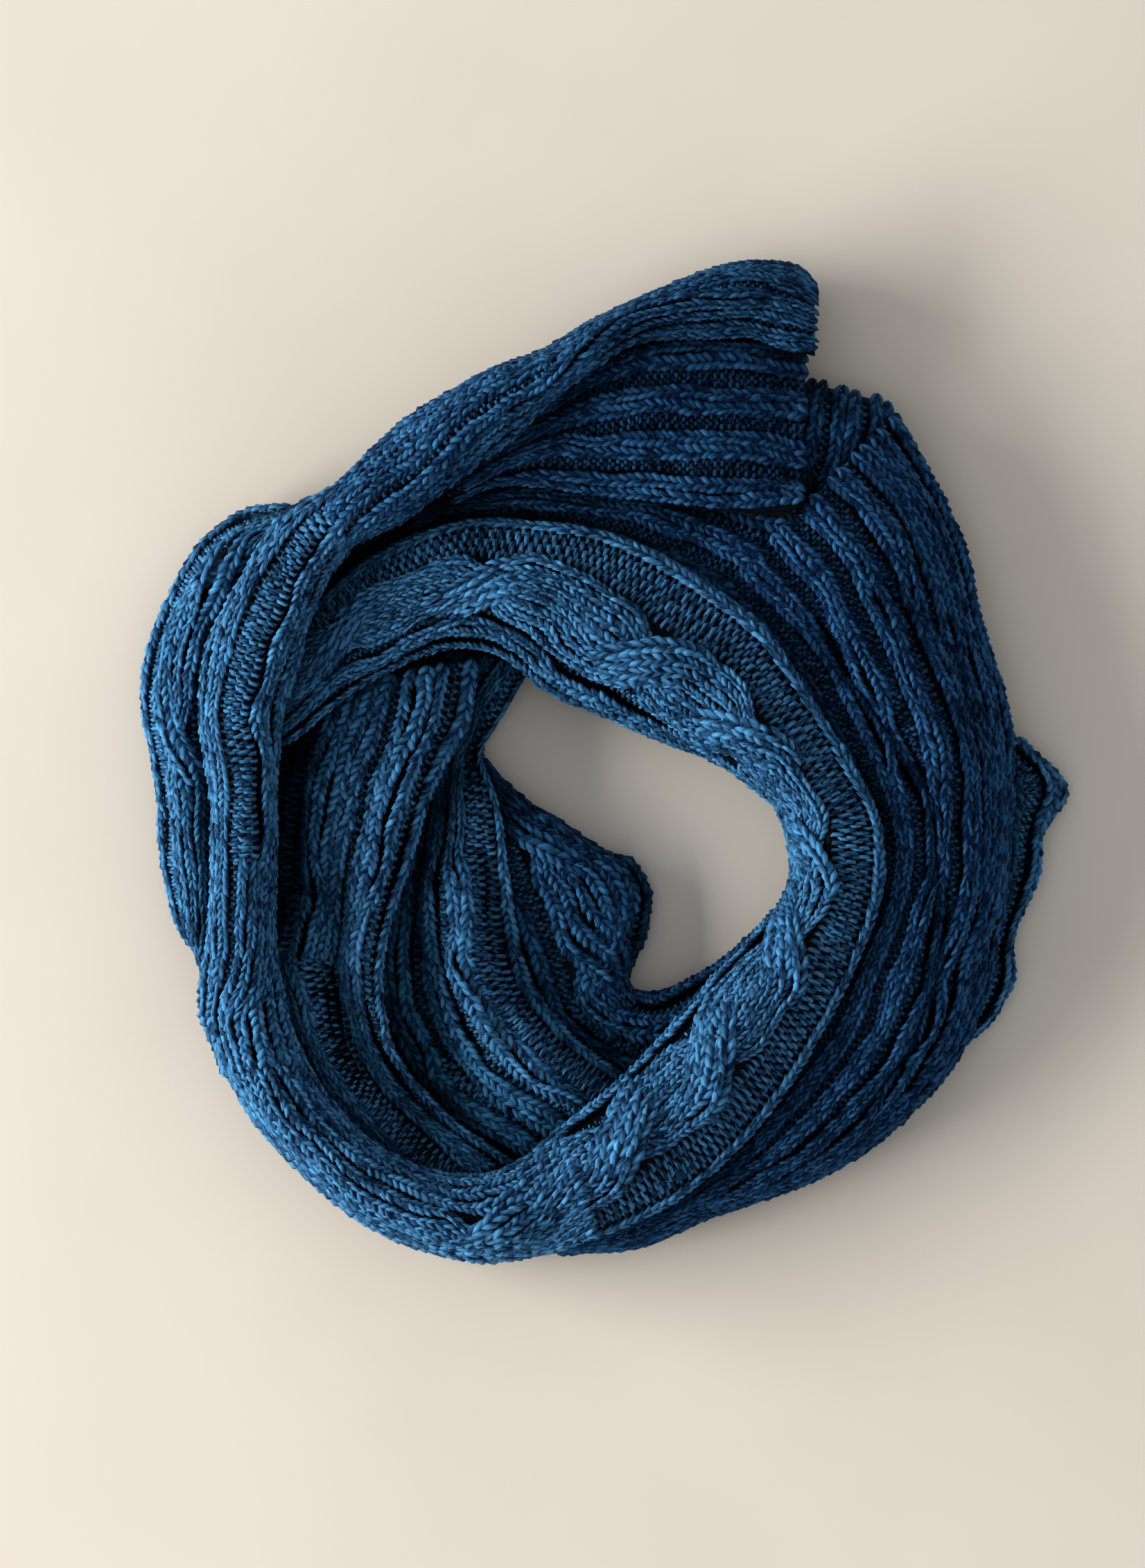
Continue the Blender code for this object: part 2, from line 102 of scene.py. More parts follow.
INNER_RIGHT = [
    (-8, -108, 12, -82, 16, 18, 2),
    (12, -116, 20, -83, 17, 19, 2),
    (30, -108, 32, -78, 18, 20, 2),
    (46, -93, 44, -70, 18, 20, 2),
    (59, -78, 55, -61, 18, 19, 2),
    (70, -63, 64, -53, 16, 17, 2),
]
INNER_LOWER = [
    (-58, 40, -24, 35, 20, 20, 8),
    (-65, 19, -34, 18, 21, 22, 9),
    (-68, 3, -42, 2, 22, 23, 14),
    (-72, -13, -37, -17, 22, 24, 19),
    (-78, -33, -34, -38, 22, 26, 22),
    (-83, -55, -31, -59, 22, 27, 22),
    (-85, -75, -26, -78, 22, 28, 23),
    (-82, -94, -17, -92, 22, 28, 23),
    (-72, -113, -5, -104, 22, 28, 23),
    (-53, -130, 8, -113, 22, 27, 23),
    (-32, -143, 21, -123, 20, 23, 23),
]
INNER_LEFT = [
    (-108, 24, -45, 37, 26, 27, 25),
    (-117, 8, -48, 16, 26, 30, 26),
    (-121, -8, -57, -3, 26, 33, 28),
    (-122, -23, -64, -20, 26, 34, 29),
    (-123, -38, -70, -38, 26, 34, 30),
    (-122, -53, -75, -55, 26, 34, 31),
    (-122, -68, -79, -73, 26, 34, 31),
    (-119, -83, -79, -89, 26, 34, 31),
    (-114, -98, -75, -104, 26, 34, 31),
    (-107, -112, -67, -117, 26, 33, 31),
    (-94, -130, -54, -130, 25, 31, 29),
    (-76, -152, -34, -144, 22, 27, 26),
]
print("sections:", len(TAIL) + len(CORNER) + len(INNER_RIGHT) + len(INNER_LOWER) + len(INNER_LEFT))

# %% [markdown]
# ## The outer stretches
#
# A turned-over triangle sits at the upper right. From under it the outer stretch goes down the
# right side, and another comes up at the left. Their outer edges are low and their inner edges
# high, because they lean on the turns inside the coil.

# %% The outer stretches
TURNED_TRIANGLE = [
    (70, 138, 105, 129, 5, 9, 6),
    (66, 126, 103, 120, 22, 24, 14),
    (65, 110, 98, 105, 25, 27, 20),
    (65, 95, 91, 91, 26, 27, 25),
    (65, 83, 80, 81, 25, 26, 25),
]
TOP_OUTER = [
    (-68, 100, -70, 76, 28, 31, 27),
    (-45, 110, -45, 81, 29, 33, 28),
    (-18, 112, -23, 81, 30, 34, 28),
    (12, 109, -2, 77, 30, 35, 29),
    (45, 104, 18, 68, 30, 35, 30),
    (74, 94, 37, 57, 30, 36, 31),
]
RIGHT_OUTER = [
    (107, 127, 37, 57, 14, 38, 31),
    (121, 102, 52, 42, 9, 40, 31),
    (131, 79, 64, 28, 9, 40, 31),
    (136, 57, 73, 14, 9, 40, 31),
    (143, 34, 83, -4, 9, 40, 31),
    (148, 9, 91, -20, 11, 40, 31),
    (148, -18, 95, -38, 14, 40, 31),
    (146, -45, 92, -53, 14, 40, 31),
    (142, -73, 83, -73, 14, 39, 31),
    (133, -100, 73, -93, 10, 38, 31),
    (117, -122, 62, -112, 9, 37, 31),
    (98, -140, 47, -132, 9, 35, 31),
    (72, -153, 30, -148, 9, 32, 30),
    (45, -162, 11, -160, 9, 28, 28),
    (17, -175, -9, -168, 9, 22, 24),
    (-9, -177, -22, -173, 8, 16, 18),
]
LEFT_OUTER = [
    (-108, 94, -98, 77, 20, 33, 35),
    (-130, 90, -113, 67, 8, 37, 36),
    (-147, 78, -125, 54, 8, 39, 36),
    (-158, 59, -133, 43, 8, 39, 36),
    (-165, 39, -137, 28, 8, 39, 36),
    (-167, 19, -137, 14, 8, 38, 35),
    (-164, 1, -135, 1, 8, 37, 34),
    (-161, -18, -134, -17, 8, 36, 33),
    (-160, -38, -134, -35, 8, 35, 32),
    (-156, -57, -134, -55, 8, 34, 31),
    (-148, -72, -135, -74, 8, 31, 30),
    (-146, -83, -137, -88, 8, 26, 26),
]
print("sections:", len(TURNED_TRIANGLE) + len(TOP_OUTER) + len(RIGHT_OUTER) + len(LEFT_OUTER))

# %% [markdown]
# ## The top of the coil
#
# The highest turn of the strip goes once round the hole. It is the band with the widest cable.
# Neighbouring tables begin and end at the same places, so the band runs on without a step.

# %% The top of the coil
TOP_INNER = [
    (90, 2, 47, -4, 35, 48, 9),
    (76, 24, 32, 4, 35, 48, 9),
    (60, 48, 14, 10, 35, 48, 9),
    (42, 63, -3, 17, 35, 48, 9),
    (22, 76, -20, 25, 35, 48, 10),
    (0, 84, -36, 36, 35, 47, 22),
    (-23, 88, -51, 40, 35, 46, 28),
    (-45, 89, -65, 38, 35, 45, 28),
    (-67, 83, -78, 31, 35, 43, 28),
    (-87, 73, -94, 21, 35, 41, 28),
    (-102, 59, -110, 8, 35, 39, 28),
    (-114, 42, -121, 1, 33, 35, 28),
]
RIGHT_INNER = [
    (-5, -174, -17, -133, 25, 49, 26),
    (16, -165, -1, -120, 34, 50, 26),
    (35, -153, 12, -108, 34, 50, 26),
    (53, -137, 26, -93, 34, 50, 26),
    (69, -115, 39, -77, 34, 50, 26),
    (84, -90, 53, -63, 34, 50, 20),
    (96, -65, 63, -52, 34, 49, 10),
    (102, -43, 67, -35, 34, 49, 9),
    (100, -20, 62, -16, 34, 49, 9),
    (90, 2, 47, -4, 34, 48, 9),
]
LEFT_INNER = [
    (-98, 99, -93, 74, 24, 60, 38),
    (-118, 86, -99, 66, 37, 60, 38),
    (-133, 63, -105, 51, 37, 59, 38),
    (-143, 43, -109, 36, 37, 58, 38),
    (-146, 23, -115, 18, 37, 57, 38),
    (-145, 4, -117, 3, 37, 56, 30),
    (-142, -15, -118, -15, 37, 55, 30),
    (-142, -35, -118, -35, 37, 54, 30),
    (-143, -57, -118, -57, 37, 54, 30),
    (-145, -77, -117, -74, 32, 53, 30),
    (-144, -94, -114, -89, 14, 52, 30),
    (-139, -110, -109, -103, 9, 52, 30),
]
BOTTOM = [
    (-139, -110, -109, -103, 9, 52, 30),
    (-127, -130, -100, -119, 9, 51, 30),
    (-109, -149, -88, -133, 9, 51, 30),
    (-90, -166, -74, -142, 9, 50, 30),
    (-68, -176, -58, -148, 9, 50, 30),
    (-43, -181, -43, -148, 9, 49, 30),
    (-22, -179, -29, -142, 10, 49, 30),
    (-5, -174, -17, -133, 25, 49, 26),
]
print("sections:", len(TOP_INNER) + len(RIGHT_INNER) + len(LEFT_INNER) + len(BOTTOM))

# %% [markdown]
# ## The two ends of the strip that show
#
# One end lies flat as a ribbed flap, and beside it the strip is rolled up like a rope. The rope's
# sections stand high and narrow, and its last one is the first of the band down the left side.

# %% The two ends of the strip that show
END_FLAP = [
    (73, 154, 71, 89, 27, 34, 36),
    (60, 155, 60, 88, 28, 38, 37),
    (45, 155, 45, 88, 30, 42, 37),
    (29, 155, 28, 89, 32, 44, 37),
    (14, 153, 11, 91, 34, 44, 37),
    (-1, 147, -8, 94, 36, 44, 37),
    (-13, 139, -25, 97, 37, 44, 37),
    (-27, 127, -40, 97, 38, 44, 37),
    (-39, 116, -53, 92, 38, 42, 37),
]
ROLLED_ROPE = [
    (76, 174, 76, 144, 12, 38, 32),
    (68, 180, 67, 145, 12, 44, 34),
    (53, 181, 53, 150, 13, 48, 35),
    (37, 178, 39, 150, 15, 52, 37),
    (22, 172, 24, 150, 17, 56, 40),
    (7, 165, 8, 148, 19, 60, 42),
    (-6, 158, -6, 139, 20, 61, 42),
    (-22, 149, -19, 129, 21, 62, 42),
    (-39, 143, -32, 116, 22, 63, 42),
    (-55, 134, -45, 106, 23, 63, 42),
    (-70, 125, -58, 95, 23, 63, 42),
    (-83, 114, -72, 85, 23, 62, 42),
    (-92, 105, -84, 79, 24, 61, 42),
    (-98, 99, -93, 74, 24, 60, 38),
]
print("sections:", len(END_FLAP) + len(ROLLED_ROPE))

# %% [markdown]
# ## From sections to smooth rows
#
# Each table is a stretch of the strip: a row of sections, each with the place of its outer edge,
# the place of its inner edge, and the heights of its outer edge, its crest and its inner edge.
# A curve object could be lofted through them, but here each point of the cloth is needed later,
# to set a stitch on it. So a smooth curve through the sections gives a row of cloth every few
# millimetres. Across a row the cloth arches like a superellipse, so its edges roll down and its
# middle stays broad. The lower the roundness number, the more a stretch slopes and the less it is
# flat on top.

# %% Smooth rows and arched sections
ROUNDNESS = 2.1


def smooth_rows(rows, places):
    """Rows of numbers at the given places along a smooth curve through a table's rows."""
    rows = np.array(rows, float)
    padded = np.vstack([2 * rows[0] - rows[1], rows, 2 * rows[-1] - rows[-2]])
    out = []
    for place in places:
        first = min(int(place), len(rows) - 2)
        f = place - first
        a, b, c, d = padded[first : first + 4]
        bend = (2 * a - 5 * b + 4 * c - d) * f**2 + (3 * b - a - 3 * c + d) * f**3
        out.append(0.5 * (2 * b + (c - a) * f + bend))
    return np.array(out)


def even_places(rows, step):
    """Places along a table that are a step apart, in millimetres, down the stretch's middle."""
    fine = np.linspace(0, len(rows) - 1, 12 * len(rows))
    dense = smooth_rows(rows, fine)
    middle = (dense[:, 0:2] + dense[:, 2:4]) / 2
    run = np.concatenate([[0], np.cumsum(np.linalg.norm(np.diff(middle, axis=0), axis=1))])
    count = max(4, round(run[-1] / step) + 1)
    return np.interp(np.linspace(0, run[-1], count), run, fine), run[-1]


def arched(rows, v, outer_z, crest_z, inner_z, roundness=ROUNDNESS):
    """A grid of points: across each row at v, arched between the heights of its columns."""
    outer, inner = rows[:, None, 0:2], rows[:, None, 2:4]
    plan = outer + (inner - outer) * v[None, :, None]
    full = (1 - np.abs(2 * v - 1) ** roundness) ** (1 / roundness)
    edge = np.where(v[None, :] < 0.5, outer_z[:, None], inner_z[:, None])
    return np.dstack([plan, edge + (crest_z[:, None] - edge) * full[None, :]])


print("rows in the longest stretch:", len(even_places(RIGHT_OUTER, ROW)[0]))

# %% [markdown]
# ## How one stretch lies on another
#
# Cloth can't pass through cloth, so a stretch rises wherever the stretches below it stand high.
# Rays go straight down on to the ones already laid, at each point and in a small circle round it.
# Where one hits, the cloth is lifted to clear it, and the lift is then spread out a little, as a
# thick knit bridges over a ridge. That is quicker than a simulation and comes out the same each
# time.

# %% Search trees of laid cloth, and the lift over them
LAY_GAP = 1.6
CIRCLE_RADIUS = 4.2
CIRCLE_RAYS = 8
LIFT_SPREADS = 5
SKY = 200.0


def polygons_of(grids):
    """Points and faces of several grids of cloth together, in millimetres."""
    points, faces = [], []
    for grid in grids:
        coarse = grid[sorted(set(range(0, len(grid), 2)) | {len(grid) - 1}), ::3]
        rows, columns = coarse.shape[:2]
        start = len(points)
        points += coarse.reshape(-1, 3).tolist()
        for i in range(rows - 1):
            for a in range(start + i * columns, start + (i + 1) * columns - 1):
                faces.append((a, a + columns, a + columns + 1, a + 1))
    return points, faces


def ground_under(x, y, tree):
    """The highest cloth under a place and close round it, in millimetres."""
    best = 0.0
    for turn in range(CIRCLE_RAYS + 1):
        reach = CIRCLE_RADIUS if turn else 0.0
        angle = turn * 2 * math.pi / CIRCLE_RAYS
        place = (x + reach * math.cos(angle), y + reach * math.sin(angle))
        hit = tree.ray_cast(Vector((*place, SKY)), Vector((0, 0, -1)))[0]
        if hit is not None:
            best = max(best, hit.z)
    return best


def lift_over(inside, tree):
    """How far a grid of a stretch's underside must rise to clear what it lies on."""
    ground = np.array([[ground_under(p[0], p[1], tree) for p in row] for row in inside])
    least = np.where(ground > 0, ground + LAY_GAP - inside[:, :, 2], 0)
    lift = np.maximum(least, 0)
    for _ in range(LIFT_SPREADS):
        wide = np.pad(lift, 1, mode="edge")
        around = wide[:-2, 1:-1] + wide[2:, 1:-1] + wide[1:-1, :-2] + wide[1:-1, 2:]
        lift = np.maximum((around + 2 * lift) / 6, least)
    return np.maximum(lift, 0)


print("rays down from each point:", CIRCLE_RAYS + 1)

# %% [markdown]
# ## Folds that are drawn
#
# Soft cloth opens in valleys and stands up in ridges where it is pushed together. Sculpting could
# make them, but a drawn line is easier to move. Each fold is a line seen from above, with a depth
# and half a width. The cloth sinks along it, or rises where the depth is negative, and the fold
# fades out over its last 25 mm at both ends.

# %% The depth of folds
FOLD_FADE = 25.0
FAR_AWAY = 1e9


def fold_depth(grid, folds):
    """How far the listed folds sink each point of a grid, in millimetres."""
    depth = np.zeros(grid.shape[:2])
    for deep, half, line in folds:
        line = np.array(line, float)
        steps = np.linalg.norm(np.diff(line, axis=0), axis=1)
        so_far = np.concatenate([[0], np.cumsum(steps)])
        nearest = np.full(grid.shape[:2], FAR_AWAY)
        where = np.zeros(grid.shape[:2])
        for k in range(len(line) - 1):
            along = line[k + 1] - line[k]
            offset = grid[:, :, 0:2] - line[k]
            t = np.clip((offset * along).sum(2) / (along @ along), 0, 1)
            away = np.linalg.norm(offset - t[:, :, None] * along, axis=2)
            closer = away < nearest
            nearest = np.where(closer, away, nearest)
            where = np.where(closer, so_far[k] + t * steps[k], where)
        near = np.clip(1 - nearest / half, 0, 1)
        ends = np.clip(np.minimum(where, so_far[-1] - where) / FOLD_FADE, 0, 1)
        depth += deep * near * near * (3 - 2 * near) * ends * (2 - ends)
    return depth


middle_of_fold = fold_depth(np.zeros((1, 1, 3)), [(8.0, 10.0, [(-50, 0), (50, 0)])])
print("a fold of 8 mm is deepest in its middle:", middle_of_fold[0, 0], "mm")

# %% [markdown]
# ## The cloth of one stretch
#
# The surface is worked out on a fine grid with more columns near its rolled edges. Both sides
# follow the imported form. At a rolled edge the outer side is drawn in by a little more than the
# yarn stands out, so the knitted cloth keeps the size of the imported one. Long, low waves keep it
# from looking ironed.

# %% A fine grid of a stretch's outer side and underside
ACROSS = 61
V_FINE = 0.5 - 0.5 * np.cos(np.linspace(0, math.pi, ACROSS))
V_COARSE = np.linspace(0, 1, 15)
COARSE_STEP = 12.0
YARN_ROOM = 2.4
UNDERSIDE_ROOM = YARN_ROOM + 0.3 * THICKNESS
WAVE_LENGTHS = (31.0, 47.0, 74.0)
WAVE_SLANT = 0.8
WAVE_HEIGHT = 0.55


def both_sides(rows, v, folds, roundness):
    """The outer side and the underside of a stretch, before it is lifted."""
    width = np.linalg.norm(rows[:, 2:4] - rows[:, 0:2], axis=1)
    outer_z, crest_z, inner_z = rows[:, 4], rows[:, 5], rows[:, 6]
    outer_roll = np.clip((crest_z - outer_z) / (3 * THICKNESS), 0, 1)
    inner_roll = np.clip((crest_z - inner_z) / (3 * THICKNESS), 0, 1)
    inward = (rows[:, 2:4] - rows[:, 0:2]) / width[:, None]
    sides = []
    for inset in (YARN_ROOM, UNDERSIDE_ROOM):
        narrow = rows.copy()
        narrow[:, 0:2] += inward * inset * outer_roll[:, None]
        narrow[:, 2:4] -= inward * inset * inner_roll[:, None]
        sides.append(narrow)
    base = arched(sides[0], v, outer_z, crest_z, inner_z, roundness)
    floor_outer = outer_z - THICKNESS * (1 - outer_roll)
    floor_inner = inner_z - THICKNESS * (1 - inner_roll)
    inside = arched(sides[1], v, floor_outer, crest_z - THICKNESS, floor_inner, roundness)
    dip = fold_depth(base, folds)
    base[:, :, 2] -= dip
    inside[:, :, 2] -= dip
    return base, inside


def slow_waves(rows, seed):
    """Gentle rises and dips of hand-laid cloth, in millimetres, that fade out at its edges."""
    chance = np.random.default_rng(seed)
    run = np.arange(rows)[:, None] * ROW
    waves = np.zeros((rows, ACROSS))
    for length in WAVE_LENGTHS:
        slant, start = chance.uniform(-WAVE_SLANT, WAVE_SLANT), chance.uniform(0, 1)
        waves += np.sin(2 * math.pi * (run / length + slant * V_FINE[None, :] + start))
    return WAVE_HEIGHT * waves * (4 * V_FINE * (1 - V_FINE))[None, :]


def cloth_grid(spec, below, seed):
    """The lifted outer side and underside of a stretch, a row of points for each row of knitting."""
    table, shape = spec["table"], (spec.get("folds", ()), spec.get("roundness", ROUNDNESS))
    places, length = even_places(table, ROW)
    rows = smooth_rows(table, places)
    base, inside = both_sides(rows, V_FINE, *shape)
    if below:
        tree = BVHTree.FromPolygons(*polygons_of(below))
        coarse, _ = even_places(table, COARSE_STEP)
        under = both_sides(smooth_rows(table, coarse), V_COARSE, *shape)[1]
        lift = lift_over(under, tree)
        down = np.array([np.interp(places, coarse, lift[:, j]) for j in range(len(V_COARSE))])
        fine = np.array([np.interp(V_FINE, V_COARSE, down[:, i]) for i in range(len(places))])
        base[:, :, 2] += fine
        inside[:, :, 2] += fine
    inside[:, :, 2] = np.maximum(inside[:, :, 2], 0)
    base[:, :, 2] += slow_waves(len(base), seed)
    return base, inside, places, length


print("points across each row of cloth:", ACROSS)

# %% [markdown]
# ## The lines of the folds
#
# These are the valleys and ridges that the real coil shows: the crease down its right side, the
# gaps beside the bright band, the hollows of the bowl with the ridges between them, and the slopes
# under the rolled end. The points of each line are in millimetres, seen from above.

# %% The lines that the folds follow
RIGHT_CREASE = [
    (70, 55), (80, 41), (100, 14), (118, -14), (121, -50), (119, -80), (109, -105), (92, -125)
]
RIGHT_VALLEY = [(94, 67), (114, 54), (126, 37), (131, 17), (134, 0)]
TOP_VALLEY = [(-78, 54), (-53, 54), (-33, 46), (-10, 33), (15, 22)]
SHADED_GAP = [(-113, 45), (-112, 20), (-113, -30), (-115, -50), (-119, -78)]
RIB_VALLEY = [(-101, -28), (-99, -60), (-97, -82), (-90, -102), (-71, -125), (-51, -140)]
UNDER_ROPE = [(-23, 114), (-13, 124), (-6, 139)]
FLAP_SLOPE = [(80, 60), (80, 120), (80, 190)]
BOWL_VALLEY = [
    (-45, 34), (-45, 14), (-53, -4), (-60, -20), (-66, -38), (-70, -55), (-73, -73), (-73, -89),
    (-66, -108), (-58, -126), (-44, -143)
]
BOWL_HOLLOW = [(-62, -50), (-63, -80), (-58, -98), (-46, -119), (-29, -136)]
CORNER_VALLEY = [
    (-44, -30), (-40, -52), (-37, -66), (-29, -82), (-14, -99), (6, -112), (20, -118)
]
LONG_RIDGE = [(-62, 45), (-67, 18), (-74, -10), (-80, -40), (-86, -72), (-82, -96), (-68, -114)]
BOWL_RIDGES = [
    [(-74, -50), (-75, -71), (-69, -104), (-49, -118), (-30, -134)],
    [(-57, -30), (-60, -60), (-42, -98), (-14, -124), (0, -136)],
    [(-49, -45), (-47, -71), (-24, -104), (2, -121), (16, -132)],
]
ROPE_END = [(-5, 148), (30, 152), (60, 160), (76, 162), (120, 168)]
print("points along the bowl's valley:", len(BOWL_VALLEY))

# %% [markdown]
# ## What is knitted where
#
# A pattern names the columns from a stretch's outer edge to its inner one, with the wales in each:
# K is a knit rib that stands up, P a purl ladder that sinks, and C a cable. A cable's two halves
# trade places at each crossing, and the half that goes over is always the one that moves inward, so
# the twist keeps one hand. Crossings are given by their place along the table of sections, and so
# is a later pattern that takes over part of the way.
#
# A real coil is laid down from the bottom up, so the stretches come in that order too, and each
# is lifted over the ones before it. A stretch named under onto joins this one as the same run of
# cloth, so this one isn't lifted over it.

# %% The stretches, from the bottom of the coil to its top
STRETCHES = {
    "tail_edge_layer": dict(table=TAIL, wales="K2 P2 K2 P1"),
    "hole_corner_stretch": dict(
        table=CORNER,
        wales="P2 K2 P2 C6 P1 K1",
        cross=(2.2, 6.1),
        folds=((8.0, 9.0, CORNER_VALLEY),),
    ),
    "inner_right_stretch": dict(
        table=INNER_RIGHT,
        wales="K2 P2 K2 P2 K2 P1",
        folds=((5.0, 8.0, CORNER_VALLEY),),
        onto=("hole_corner_stretch",),
    ),
    "inner_lower_stretch": dict(
        table=INNER_LOWER,
        wales="P1 K2 P2 K2 P2 K2 P3 K1",
        folds=(
            (11.0, 15.0, BOWL_VALLEY),
            (8.0, 11.0, BOWL_HOLLOW),
            (8.0, 9.0, CORNER_VALLEY),
            *((-4.5, 7.0, ridge) for ridge in BOWL_RIDGES),
        ),
        relief=0.85,
    ),
    "inner_left_stretch": dict(
        table=INNER_LEFT,
        wales="P3 K4 P1 K3 P2 K1",
        later=(6.0, "P1 K3 P4 K3 P2 K1"),
        folds=((12.0, 12.0, SHADED_GAP), (9.0, 12.0, RIB_VALLEY), (-5.0, 10.0, LONG_RIDGE)),
    ),
    "turned_triangle": dict(table=TURNED_TRIANGLE, wales="P1 K2 P1 K2 P1 K2"),
    "top_outer_stretch": dict(table=TOP_OUTER, wales="P2 K2 P2 K2 P2 K2"),
    "right_outer_stretch": dict(
        table=RIGHT_OUTER,
        wales="K2 P1 C4 P1 K2 P2 K2 P2 K2 P2 K2 P2 K2",
        cross=(7.5, 9.8, 12),
        folds=((7.0, 5.0, RIGHT_CREASE), (5.0, 6.0, RIGHT_VALLEY)),
        roundness=1.7,
        onto=("top_outer_stretch",),
    ),
    "top_inner_stretch": dict(
        table=TOP_INNER,
        wales="K2 P3 C8 P2 K2 P2 K2",
        cross=(0.8, 3.0, 6.2, 9.2),
        folds=((3.5, 5.0, TOP_VALLEY),),
    ),
    "right_inner_stretch": dict(
        table=RIGHT_INNER,
        wales="K2 P3 C8 P2 K2",
        cross=(1.0, 3.2, 5.3, 7.2),
        onto=("top_inner_stretch",),
    ),
    "left_outer_stretch": dict(table=LEFT_OUTER, wales="K2 P3 C4 P1 K2", cross=(2.0, 5.6)),
    "left_inner_stretch": dict(
        table=LEFT_INNER, wales="K2 P1 K2 P3 K2 P1 K3", later=(7.0, "K2 P1 K2 P1 K8")
    ),
    "bottom_stretch": dict(
        table=BOTTOM,
        wales="K1 P2 K1 C8 K5",
        cross=(4.9,),
        onto=("left_inner_stretch", "right_inner_stretch"),
    ),
    "end_flap": dict(
        table=END_FLAP,
        wales="P2 K2 P2 K2 P2 K2 P2 K2 P1",
        folds=((7.0, 12.0, UNDER_ROPE), (9.0, 55.0, FLAP_SLOPE)),
    ),
    "rolled_rope_stretch": dict(
        table=ROLLED_ROPE,
        wales="P1 K4 P1 K4 P1 K3 P1 K2",
        onto=("left_inner_stretch",),
        drift=2.0,
        folds=((10.0, 30.0, ROPE_END),),
        relief=0.65,
    ),
}
fold_count = sum(len(spec.get("folds", ())) for spec in STRETCHES.values())
print("stretches:", len(STRETCHES), "with", fold_count, "folds")

# %% [markdown]
# ## Where every stitch goes
#
# Across a row the stitches keep an even width along the arch and not along the plan, so they look
# narrower where the cloth rolls away from the eye, as real ones do. Each stitch gets three
# directions: along its wale, across it, and out of the cloth. The outer ones of a rib or cable lean
# outward, which makes the rib round. A ladder of three purl wales or more is wide and shallow, and
# narrow ones close up between the ribs.

# %% Columns across a stretch
RELIEF = {"K": 2.0, "P": -2.0, "C": 1.9}
COLUMN_WIDTH = {"K": 1.08, "P": 0.56, "C": 0.98}
LADDER_WIDTH = 1.15
LADDER_RELIEF = -1.1
RIB_FALL = 0.7


def wale_columns(pattern):
    """For each wale its kind, its place in its column from -1 to 1, and its relief and width."""
    out = []
    for text in pattern.split():
        kind, count = text[0], int(text[1:])
        ladder = kind == "P" and count > 2
        width = LADDER_WIDTH if ladder else COLUMN_WIDTH[kind]
        for j in range(count):
            side = (j + 0.5) / count * 2 - 1
            relief = RELIEF[kind]
            if kind == "P" and count != 2:
                relief = LADDER_RELIEF
            if kind in "KC":
                relief *= math.sqrt(max(0.0, 1 - RIB_FALL * side * side))
            out.append(dict(kind=kind, side=side, relief=relief, width=width))
    return out


print("wales in a rib of three:", [round(w["relief"], 2) for w in wale_columns("K3")])

# %% [markdown]
# ## How a cable crosses
#
# In a cable two strands of stitches swap places. Halfway through the swap they lie on each other,
# so the cable is narrower there, and the purl columns beside it are pulled in. The strand that
# moves inward rides up a little, spreads out and covers the other one, which ducks under it.

# %% Crossings
CROSSING_ROWS = 6.0
CROSSING_LIFT = 0.9
DUCK = 0.8
SPREAD = 0.6
SQUEEZE = 0.1
CROSSING_LEAN = 1.2
PULL = 0.09
PULL_REACH = 3.5
LEAN = {"K": 0.55, "P": -0.2, "C": 0.55}
TINY = 1e-6


def crossing_state(numbers, crossings):
    """For each row, how far the strands have swapped, and how deep in an odd or even crossing."""
    swapped = np.zeros(len(numbers))
    depth = np.zeros((2, len(numbers)))
    for number, centre in enumerate(crossings):
        t = np.clip((numbers - centre) / (2 * CROSSING_ROWS) + 0.5, 0, 1)
        step = t * t * (3 - 2 * t)
        swapped += -step if number % 2 else step
        depth[number % 2] = np.maximum(depth[number % 2], np.sin(math.pi * t))
    return swapped, depth


def swap_strands(grids, cable, start, size, state):
    """Moves the two strands of a cable over each other, and lifts the one on top."""
    left, right, relief, lean = grids
    swapped, depth = state
    half = len(cable) // 2
    for k in cable:
        first = k - cable[0] < half
        j = (k - cable[0]) % half - (half - 1) / 2
        centre = start + size * (0.25 + 0.5 * (swapped if first else 1 - swapped))
        over, under = depth if first else depth[::-1]
        squeeze = 1 + SPREAD * over - SQUEEZE * under
        middle = centre + j * COLUMN_WIDTH["C"] * squeeze
        left[:, k] = middle - 0.5 * COLUMN_WIDTH["C"] * squeeze
        right[:, k] = middle + 0.5 * COLUMN_WIDTH["C"] * squeeze
        relief[:, k] += CROSSING_LIFT * (over - DUCK * under)
        lean[:, k] += (j / half * CROSSING_LEAN - lean[:, k]) * depth.max(axis=0)


def pulled_in(place, start, stop, whole, deep):
    """An edge of a wale beside a cable, pulled towards the cable where that crosses."""
    before = place <= start + TINY
    away = np.where(before, start - place, place - stop)
    room = start if before.all() else whole - stop
    fade = np.clip(1 - away / max(min(PULL_REACH, room), TINY), 0, 1)
    return place + np.where(before, 1, -1) * PULL * (stop - start) * deep * fade


